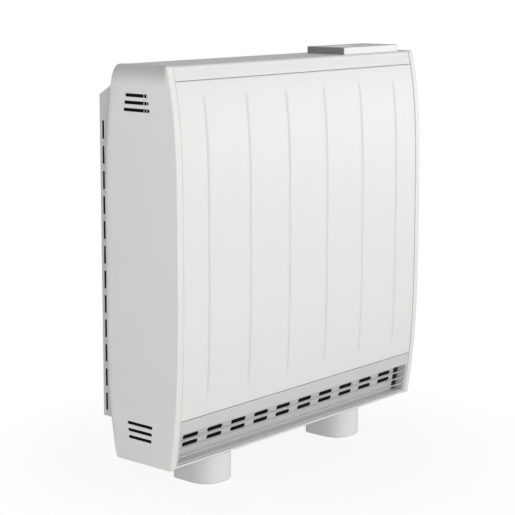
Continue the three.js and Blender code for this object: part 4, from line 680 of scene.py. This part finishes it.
def hood_path(inset):
    """Section of the top panel from the front joint over the top to the rear joint, drawn in by an inset."""
    low, high = PANEL_HIGH + SEAM, HIGH - CORNER
    lip = np.linspace(0, HOOD_LIP, 6)
    z = np.concatenate([low + lip, np.linspace(low + HOOD_LIP + 0.5, high, 12)])
    front = front_at(z) + np.maximum(inset, np.append(fallen(lip, HOOD_LIP), np.zeros(12)))
    start, crown = HIGH - CROWN_DROP + SEAM, float(rear_at(HIGH))
    rear = np.array([float(rear_at(start)) - inset, start])
    over = np.array([[front[-1] + CORNER - inset, HIGH - inset], [crown - CROWN_RUN, HIGH - inset]])
    first = turned(np.array([front[-1], high]), np.array([front[-1], HIGH - inset]), over[0])
    last = turned(over[1], np.array([crown - inset, HIGH - inset]), rear, 20)
    top = np.linspace(over[0], over[1], 9)[1:-1]
    return np.concatenate([np.stack([front, z], -1)[:-1], first, top, last])


def hood():
    """The top panel: its section carried along X, its two ends bent inwards like the panels' rims."""
    paths = np.stack([hood_path(inset) for inset in (0.0, SHEET)])
    inward = (paths[1] - paths[0]) / SHEET
    skins = []
    for x, depth in folded(-PANEL_HALF, PANEL_HALF, PANEL_COLUMNS):
        section = paths[0] + inward * depth[:, None, None]
        across = np.broadcast_to(x[:, None, None], (*section.shape[:2], 1))
        skins.append(np.concatenate([across, section], -1))
    return plate(*skins)


build("folded_top", [hood()], enamel, replaced=["top_panel"])

# ---------------------------------------------------------------- end caps
# Moulded covers over the side frames. A rim runs along their front, the edges are rounded, and
# the side face has three vent slots near its top and three near its bottom. A near-black screen
# behind each three stands in as painted shade; two upright ribs stand behind the upper ones.

CAP_INNER, CAP_PROUD, CAP_WALL, CAP_EDGE = 318.0, 0.6, 2.0, 2.5
VENT_Y, VENT_HEIGHT = -2.0, 5.5
VENTS = ((667.0, 51), (655.2, 56), (643.4, 60), (123.0, 59), (111.2, 56), (99.4, 54))
VENT_EDGE = 0.5
VENT_RIBS = (-17.5, -24.0)
RIB_HALF, RIB_LOW, RIB_HIGH, RIB_DEPTH = 0.3, 636.0, 674.0, 1.0
VENT_SCREEN_Y, VENT_SCREEN_SPANS, VENT_SCREEN_GAP = (-40.0, 36.0), ((634.0, 677.0), (90.0, 133.0)), 1.1
TOP_ROLL, REAR_ROLL, ROLL_FALL, CRISP = 26.0, 10.0, 6.0, 38.0
ROLL_UPPER, ROLL_FRONT, ROLL_LOW = (640.0, 680.0), (-70.0, -40.0), (70.0, 110.0)
CAP_BEAD, CAP_SUPPORT, CROWN_GROWTH = 1.0, 0.4, 0.6
CREASE = {"y": 2.0, "z": 83.6, "length": 63.0, "height": 1.4}
CREASE_DEPTH = 0.25
SHADE_Z, SHADE_X, SHADE_Y = (0.680, 0.714), (0.3255, 0.3268), (-0.072, -0.064)


def top_shade(tree, base):
    """Painted shade: the side face darkens towards its rolled-over upper edge; the rim along the front stays
    light.
    """
    place = axes(tree)
    out = maths(tree, "ABSOLUTE", place["X"])
    limits = ((place["Z"], SHADE_Z), (out, SHADE_X), (place["Y"], SHADE_Y))
    soft = {"interpolation_type": "SMOOTHSTEP"}
    upper, side, behind = [ramp(tree, value, *span, **soft) for value, span in limits]
    share = maths(tree, "MULTIPLY", maths(tree, "MULTIPLY", upper, side), behind)
    return mix(tree, maths(tree, "MULTIPLY", share, 0.55), base, (0.25, 0.25, 0.24, 1))


cap_moulding = finish("cap_moulding", (0.79, 0.795, 0.768), 0.45, (12, 0.02), (1500, 0.012), 0.08, 0.03)
# The caps' finish carries painted shade along the top of the side face.
recolour(cap_moulding, top_shade)


def casing_outline(grow):
    """The casing seen from its side, grown outwards: two bowed sides joined by corners, of which the
    upper rear one is wide."""
    low, high = LOW - grow, HIGH + grow
    drop, crown = HIGH - CROWN_DROP + CROWN_GROWTH * grow, float(rear_at(HIGH))
    z = np.linspace(HIGH - CORNER, LOW + CORNER, 90)
    front = np.stack([front_at(z) - grow, z], -1)
    z = np.linspace(LOW + CORNER, drop, 90)
    rear = np.stack([rear_at(z) + grow, z], -1)
    ends = np.array([front[-1, 0] + grow + CORNER, rear[0, 0] - grow - CORNER])
    over = np.array([crown - CROWN_RUN + CROWN_GROWTH * grow, front[0, 0] + grow + CORNER])
    under = turned(front[-1], np.array([front[-1, 0], low]), np.array([ends[0], low]))
    base = np.stack([np.linspace(*ends, 9)[1:-1], np.full(7, low)], -1)
    behind = turned(np.array([ends[1], low]), np.array([rear[0, 0], low]), rear[0])
    back = turned(rear[-1], np.array([crown + grow, high]), np.array([over[0], high]), 20)
    top = np.stack([np.linspace(*over, 25)[1:-1], np.full(23, high)], -1)
    ahead = turned(np.array([over[1], high]), np.array([front[0, 0], high]), front[0])
    return np.concatenate([front[:-1], under, base, behind[:-1], rear[:-1], back, top, ahead[:-1]])


def between(value, start, stop):
    """0 up to start and 1 from stop on, with a soft S between them."""
    return smooth((value - start) / (stop - start))


def stadium(y, z, length, height, grow=0.0, steps=10):
    """A slot's outline with round ends, grown outwards."""
    radius, reach = height / 2 + grow, (length - height) / 2
    right = arc(y + reach, z, radius, radius, -90, 90, steps)
    left = arc(y - reach, z, radius, radius, 90, 270, steps)
    return np.concatenate([right, left])


def at_x(section, x):
    """A loop given as (Y, Z), stood at a distance along X."""
    return np.column_stack([np.full(len(section), float(x)), section])


def cap_patches():
    """The right cap: skin from the panel side round the outer edge, the side face, and the wall behind it.
    The edge is small along the front and the bottom, and rolls over widely at the top and the rear,
    where the roll stops short of a full quarter turn and leaves a crisp line."""
    outline = casing_outline(0)
    outward = casing_outline(1) - outline
    y, z = outline.T
    upper = between(z, *ROLL_UPPER)
    wide = TOP_ROLL * upper * between(y, *ROLL_FRONT)
    wide = wide + REAR_ROLL * (1 - upper) * between(z, *ROLL_LOW) * (y > 0)
    fall = CAP_EDGE + ROLL_FALL * wide / TOP_ROLL
    start = HALF - CAP_EDGE - ROLL_FALL - CAP_SUPPORT

    def ring(x, grow):
        """The outline at a distance along X, grown by one amount, or by one for each of its points."""
        across = np.broadcast_to(x, y.shape)
        return np.column_stack([across, outline + outward * np.reshape(grow, (-1, 1))])

    turn = np.linspace(0, np.pi / 2, 5)
    bead = [(CAP_INNER + CAP_BEAD * (1 - np.cos(a)), CAP_PROUD - CAP_BEAD * (1 - np.sin(a))) for a in turn]
    bead = [(CAP_INNER, -CAP_WALL), *bead, (CAP_INNER + CAP_BEAD + 0.5, CAP_PROUD), (start, CAP_PROUD)]
    rings = [ring(x, grow) for x, grow in bead]
    crisp = np.radians(CRISP) * wide / TOP_ROLL
    for share in np.linspace(0, 1, 14):
        a = crisp + (np.pi / 2 - crisp) * share
        inset = (CAP_EDGE + wide) * (1 - np.cos(a) / np.cos(crisp))
        rings.append(ring(HALF - fall * (1 - np.sin(a)), CAP_PROUD - inset))
    rings.append(ring(HALF, CAP_PROUD - CAP_EDGE - wide - CAP_SUPPORT))
    inside = [ring(HALF - CAP_WALL, -CAP_WALL - 0.5 * wide)]
    inside += [ring(x, -CAP_WALL) for x in (start - CAP_WALL, CAP_INNER)]
    turn = np.linspace(0, np.pi / 2, 8)
    rim = [(HALF, VENT_EDGE + 0.3)]
    rim += [(HALF - VENT_EDGE * (1 - np.cos(a)), VENT_EDGE * (1 - np.sin(a))) for a in turn]
    rim += [(HALF - CAP_WALL, 0.0)]
    slots = [
        [at_x(stadium(VENT_Y, height, length, VENT_HEIGHT, grow), x) for x, grow in rim]
        for height, length in VENTS
    ]
    crease = [(0.0, 0.8), (0.0, 0.5), (0.08, 0.25), (CREASE_DEPTH - 0.05, 0.05), (CREASE_DEPTH, 0.0)]
    line = [at_x(stadium(*CREASE.values(), grow), HALF - depth) for depth, grow in crease]
    patches = [loft(rings), loft(inside), *[loft(slot) for slot in slots], loft(line), flat([line[-1]])]
    patches.append(flat([rings[-1], *[slot[0] for slot in slots], line[0]]))
    patches.append(flat([inside[0], *[slot[-1] for slot in slots]]))
    return patches


def bar(x0, x1, y0, y1):
    """A rectangle's four corners."""
    return np.array([(x0, y0), (x1, y0), (x1, y1), (x0, y1)], float)


def vent_ribs():
    """Two upright ribs inside the cap, behind its upper slots, that stiffen the slotted place."""
    wall = HALF - CAP_WALL
    sections = [bar(y - RIB_HALF, y + RIB_HALF, RIB_LOW, RIB_HIGH) for y in VENT_RIBS]
    return [part for section in sections for part in prism(section, wall - RIB_DEPTH, wall + 0.01)]


def vent_shade_screens():
    """Two near-black screens behind the slots of the cap: painted shade for the dark inside."""
    outer = HALF - CAP_WALL - VENT_SCREEN_GAP
    sections = [bar(*VENT_SCREEN_Y, *span) for span in VENT_SCREEN_SPANS]
    return [part for section in sections for part in prism(section, outer - SCREEN_THICKNESS, outer)]


def mirrored(patches, side):
    """The right cap's patches, or for side -1 the same with X turned round."""
    return [(points * [side, 1, 1], faces) for points, faces in patches]


for name, side in SIDES:
    cap = mirrored(cap_patches(), side)
    build(f"{name}_cap_moulding", cap, cap_moulding, replaced=[f"{name}_end_cap"])
    build(f"{name}_vent_ribs", mirrored(vent_ribs(), side), cap_moulding)
    build(f"{name}_vent_shade_screens", mirrored(vent_shade_screens(), side), shade_screen)

# ---------------------------------------------------------------- control pod
# A flat moulded housing screwed to the top panel. Its left end is a dark louvred plate in front
# of the room sensor. A smoked window and five push buttons are on its top.

POD = {"x0": 127.0, "x1": 293.0, "y0": -66.0, "y1": 18.0, "z0": 716.0, "z1": 728.5}
POD_CORNER, POD_EDGE, POD_ROUND = 4.0, 1.5, 0.9
LOUVRE, LOUVRE_RIBS, LOUVRE_WAVE, LOUVRE_FLAT, LOUVRE_ROUND = 1.6, 5, 0.45, 1.6, 1.2
WINDOW = {"x0": 139.0, "x1": 201.0, "y0": -46.0, "y1": -8.0}
WINDOW_CORNERS = (2, 2, 2, 2)
BUTTON_RADIUS, BUTTON_PROUD, GAP = 6.0, 0.6, 0.3
BUTTONS = {
    "power": (223.0, -39.0),
    "menu": (243.0, -39.0),
    "back": (263.0, -39.0),
    "up": (223.0, -19.0),
    "down": (243.0, -19.0),
}

pod_moulding = finish("pod_moulding", (0.72, 0.72, 0.715), 0.34, (20, 0.015), (1700, 0.012), 0.08, 0.04)
dark_moulding = finish("dark_moulding", (0.29, 0.29, 0.285), 0.42, (30, 0.1), (1700, 0.012), 0.1, 0.05)


def rib_trough_shade(tree, base):
    """Painted shade in the troughs of five level ribs over the height of the dark end: a wave in Z."""
    height = axes(tree)["Z"]
    turns = 2 * np.pi * LOUVRE_RIBS * 1000 / (POD["z1"] - POD["z0"])
    angle = maths(tree, "MULTIPLY", maths(tree, "SUBTRACT", height, POD["z0"] / 1000), turns)
    trough = ramp(tree, maths(tree, "COSINE", angle), 0.1, 0.9)
    return mix(tree, maths(tree, "MULTIPLY", trough, 0.6), base, (0.09, 0.09, 0.09, 1))


# The dark end's finish carries painted shade in its rib troughs.
recolour(dark_moulding, rib_trough_shade)
SMOKE = (0.02, 0.022, 0.025)
smoked = finish("smoked_window", SMOKE, 0.08, (30, 0.1), (300, 0.0005), 0.03, 0.04, Coat_Weight=1.0)
dress(["display_module"], finish("display_glass", (0.03, 0.035, 0.03), 0.15, (40, 0.2), (900, 0.002), 0.05))
dress(["control_board"], laminate)
dress(["room_sensor"], black)


def box_loop(x0, x1, y0, y1, radii, grow=0.0):
    """A rectangle with rounded corners, grown outwards, as (X, Y). Corners run from the low left one."""
    corners = [(x0 - grow, y0 - grow), (x1 + grow, y0 - grow), (x1 + grow, y1 + grow), (x0 - grow, y1 + grow)]
    return rounded(corners, [max(radius + grow, 0.2) for radius in radii], steps=8)


def pod_patches():
    """The housing: sides, a rounded upper edge, and a top face with openings for window and buttons."""
    x0, x1, y0, y1 = POD["x0"] + LOUVRE + GAP, POD["x1"], POD["y0"], POD["y1"]
    radii = (1.0, POD_CORNER, POD_CORNER, 1.0)
    loop = lambda inset, z: level(box_loop(x0, x1, y0, y1, radii, -inset), z)
    turn = np.linspace(0, np.pi / 2, 7)
    rings = [loop(0.3, POD["z0"]), loop(0, POD["z0"] + 0.3), loop(0, POD["z1"] - POD_EDGE - 0.3)]
    rings += [loop(POD_ROUND * (1 - np.cos(a)), POD["z1"] - POD_ROUND * (1 - np.sin(a))) for a in turn]
    rings += [loop(POD_ROUND + 0.3, POD["z1"])]
    patches = [loft(rings), flat([rings[0]])]
    rim = [(0.0, 0.6), (0.0, 0.3), (0.1, 0.1), (0.3, 0.0), (1.5, 0.0)]
    openings = [lambda grow: box_loop(*WINDOW.values(), WINDOW_CORNERS, GAP + grow)]
    for x, y in BUTTONS.values():
        openings.append(lambda grow, x=x, y=y: circle(x, y, BUTTON_RADIUS + GAP + grow, 48))
    holes = [[level(opening(grow), POD["z1"] - drop) for drop, grow in rim] for opening in openings]
    patches += [part for hole in holes for part in (loft(hole), flat([hole[-1]]))]
    patches.append(flat([rings[-1], *[hole[0] for hole in holes]]))
    return patches


build("pod_housing", pod_patches(), pod_moulding, replaced=["control_pod"])


def edged(low, high, radius, middle, steps=6):
    """Places from low to high, close together where the two edges are rounded."""
    turn = radius * (1 - np.cos(np.linspace(0, np.pi / 2, steps + 1)))
    ends = np.append(turn, radius * 1.25)
    return np.unique(np.round(np.concatenate([low + ends, middle, high - ends]), 6))


def louvre_patches():
    """The dark end: a plate whose outer face waves in and out with height, closed by a flat back."""
    x0, x1 = POD["x0"], POD["x0"] + LOUVRE
    z = np.linspace(POD["z0"], POD["z1"], 90)
    share = (z - POD["z0"]) / (POD["z1"] - POD["z0"])
    wave = np.clip(np.cos(share * LOUVRE_RIBS * 2 * np.pi) * LOUVRE_FLAT, -1, 1)
    inset = LOUVRE_WAVE + LOUVRE_WAVE * wave
    top = fallen(POD["z1"] - z, POD_ROUND)
    y = edged(POD["y0"], POD["y1"], LOUVRE_ROUND, np.linspace(POD["y0"] + 3, POD["y1"] - 3, 12))
    y, z = np.meshgrid(y, z)
    corner = fallen(np.minimum(y - POD["y0"], POD["y1"] - y), LOUVRE_ROUND)
    depth = np.minimum(inset[:, None] + top[:, None] + corner, LOUVRE - 0.05)
    return [plate(np.stack([x0 + depth, y, z], -1), np.stack([np.full_like(y, x1), y, z], -1))]


build("pod_louvre_end", louvre_patches(), dark_moulding, replaced=["pod_louvre"])


def window_patches():
    """A flat pane with a fine rounded rim."""
    loop = lambda inset, z: level(box_loop(*WINDOW.values(), WINDOW_CORNERS, -inset), POD["z1"] - z)
    return closed([loop(0, 1.2), loop(0, 0.3), loop(0.08, 0.08), loop(0.3, 0), loop(0.6, 0)])


build("display_pane", window_patches(), smoked, replaced=["display_window"])

# ---------------------------------------------------------------- push buttons
# Five round moulded caps with a dished top, sprung from the control board. Each carries a small
# raised sign: on and off, menu, back, up and down.

SIGN_HEIGHT, SIGN_SUNK = 0.25, 0.4
DISH_DEPTH, DISH_RADIUS = 0.35, 5.2
ARROW = [(-2.4, 0), (0.2, -2.1), (0.2, -0.5), (2.3, -0.5), (2.3, 0.5), (0.2, 0.5), (0.2, 2.1)]


def ring_sign(radius, width, start, stop):
    """An open ring between two angles."""
    outer, inner = [arc(0, 0, reach, reach, start, stop, 28) for reach in (radius, radius - width)]
    return np.concatenate([outer, inner[::-1]])


SIGNS = {
    "power": [ring_sign(2.6, 0.6, 125, 415), bar(-0.3, 0.3, 0.6, 3.0)],
    "menu": [bar(-2.3, 2.3, y - 0.3, y + 0.3) for y in (-1.5, 0.0, 1.5)],
    "back": [np.array(ARROW, float)],
    "up": [np.array([(-2.3, -1.3), (2.3, -1.3), (0, 1.9)], float)],
    "down": [np.array([(-2.3, 1.3), (0, -1.9), (2.3, 1.3)], float)],
}


def button_patches(x, y):
    """A turned cap: a rounded rim, and a top that dips by the square of the distance from its middle."""
    crown = POD["z1"] + BUTTON_PROUD
    profile = [(BUTTON_RADIUS, -2.2), (BUTTON_RADIUS, -0.5)]
    profile += [(5.9, -0.2), (5.7, -0.05), (5.4, 0.0), (5.1, -0.02)]
    profile += [(r, -DISH_DEPTH * (1 - (r / DISH_RADIUS) ** 2) - 0.02) for r in (4.6, 4.0, 3.2, 2.2, 1.1)]
    return closed([level(circle(x, y, r, 48), crown + z) for r, z in profile])


def raised(outline, low, high):
    """A small raised figure between two heights."""
    return closed([level(outline, z) for z in (low, high)])


sign_grey = finish("sign_print", (0.16, 0.16, 0.165), 0.5, (40, 0.05), (1500, 0.01), 0.05)
for name, (x, y) in BUTTONS.items():
    build(f"{name}_key", button_patches(x, y), pod_moulding, name, [f"{name}_button"])
    low = POD["z1"] + BUTTON_PROUD - SIGN_SUNK
    parts = [part for outline in SIGNS[name] for part in raised(outline + [x, y], low, low + SIGN_HEIGHT)]
    build(f"{name}_sign", parts, sign_grey, name)

# ---------------------------------------------------------------- floor, light and camera
# A plain pale floor that keeps the object's shadow, three soft lamps in front, on the left and on
# the right, and a camera at the photograph's angle.

FLOOR_REACH = 12.0
SHADOW_EDGE, SHADOW_SHARE = (0.02, 0.3), 0.12
floor_mesh = bpy.data.meshes.new("floor")
corners = np.array([(-1, -1, 0), (1, -1, 0), (1, 1, 0), (-1, 1, 0)], float) * FLOOR_REACH
floor_mesh.from_pydata(corners, [], [(0, 1, 2, 3)])
floor = bpy.data.objects.new("floor", floor_mesh)
bpy.context.scene.collection.objects.link(floor)


def seen(tree):
    """1 for what the camera sees, straight or through glass."""
    path = node(tree, "LightPath").outputs
    return maths(tree, "MAXIMUM", path["Is Camera Ray"], path["Is Transmission Ray"])


floor_paint, tree, surface = new_material("floor_paint")
surface.inputs["Base Color"].default_value = (0.8, 0.8, 0.8, 1)
surface.inputs["Roughness"].default_value = 0.9
surface.inputs["Specular IOR Level"].default_value = 0.0
glow = node(tree, "Emission", {"Color": (1, 1, 1, 1), "Strength": 1.0})
place = axes(tree)
squares = [maths(tree, "MULTIPLY", place[axis], place[axis]) for axis in ("X", "Y")]
near = ramp(tree, maths(tree, "ADD", *squares), *SHADOW_EDGE, SHADOW_SHARE, 0.0)
shown = node(tree, "MixShader", {0: near, 1: glow.outputs[0], 2: surface.outputs[0]})
total = node(tree, "MixShader", {0: seen(tree), 1: surface.outputs[0], 2: shown.outputs[0]})
tree.links.new(total.outputs[0], tree.nodes["Material Output"].inputs["Surface"])
floor_mesh.materials.append(floor_paint)

world = bpy.data.worlds.new("studio")
bpy.context.scene.world = world
world.use_nodes = True
tree = world.node_tree
tree.nodes.clear()
height = node(tree, "SeparateXYZ", {0: node(tree, "TexCoord").outputs["Generated"]}).outputs["Z"]
sky = ramp(tree, height, 0.0, 0.8, 0.62, 0.4)
ambient = node(tree, "Background", {"Color": (1, 1, 1, 1), "Strength": sky})
white = node(tree, "Background", {"Color": (1, 1, 1, 1), "Strength": 1.0})
either = node(tree, "MixShader", {0: seen(tree), 1: ambient.outputs[0], 2: white.outputs[0]})
tree.links.new(either.outputs[0], node(tree, "OutputWorld").inputs["Surface"])


def softbox(name, towards, distance, size, watts):
    """A soft rectangular lamp, aimed at the middle of the heater."""
    lamp = bpy.data.lights.new(name, "AREA")
    lamp.shape, lamp.size, lamp.size_y, lamp.energy = "RECTANGLE", size[0], size[1], watts
    holder = bpy.data.objects.new(name, lamp)
    bpy.context.scene.collection.objects.link(holder)
    aim = np.array(towards, float) / np.linalg.norm(towards)
    holder.location = aim * distance + [0, 0, 0.4]
    holder.rotation_euler = (np.pi / 2 - np.arcsin(aim[2]), 0, np.arctan2(aim[0], -aim[1]))
    holder.visible_camera = False


softbox("front_softbox", (-0.42, -0.9, 0.16), 3.2, (1.8, 1.4), 31)
softbox("left_softbox", (-1, -0.25, 0.42), 3.2, (1.4, 1.2), 16)
softbox("right_softbox", (0.75, -0.64, 0.1), 2.6, (1.2, 0.7), 16)

camera = bpy.data.cameras.new("camera")
camera.sensor_width, camera.lens, camera.shift_y = 36.0, 111.06, -0.1
viewer = bpy.data.objects.new("camera", camera)
bpy.context.scene.collection.objects.link(viewer)
CAMERA_PLACE, CAMERA_YAW, CAMERA_PITCH = (-2.11975, -1.81138, 0.86614), 0.8564, 0.1477
viewer.location = CAMERA_PLACE
viewer.rotation_euler = (np.pi / 2 - CAMERA_PITCH, 0, -CAMERA_YAW)
bpy.context.scene.camera = viewer
bpy.context.scene.view_settings.view_transform = "Standard"
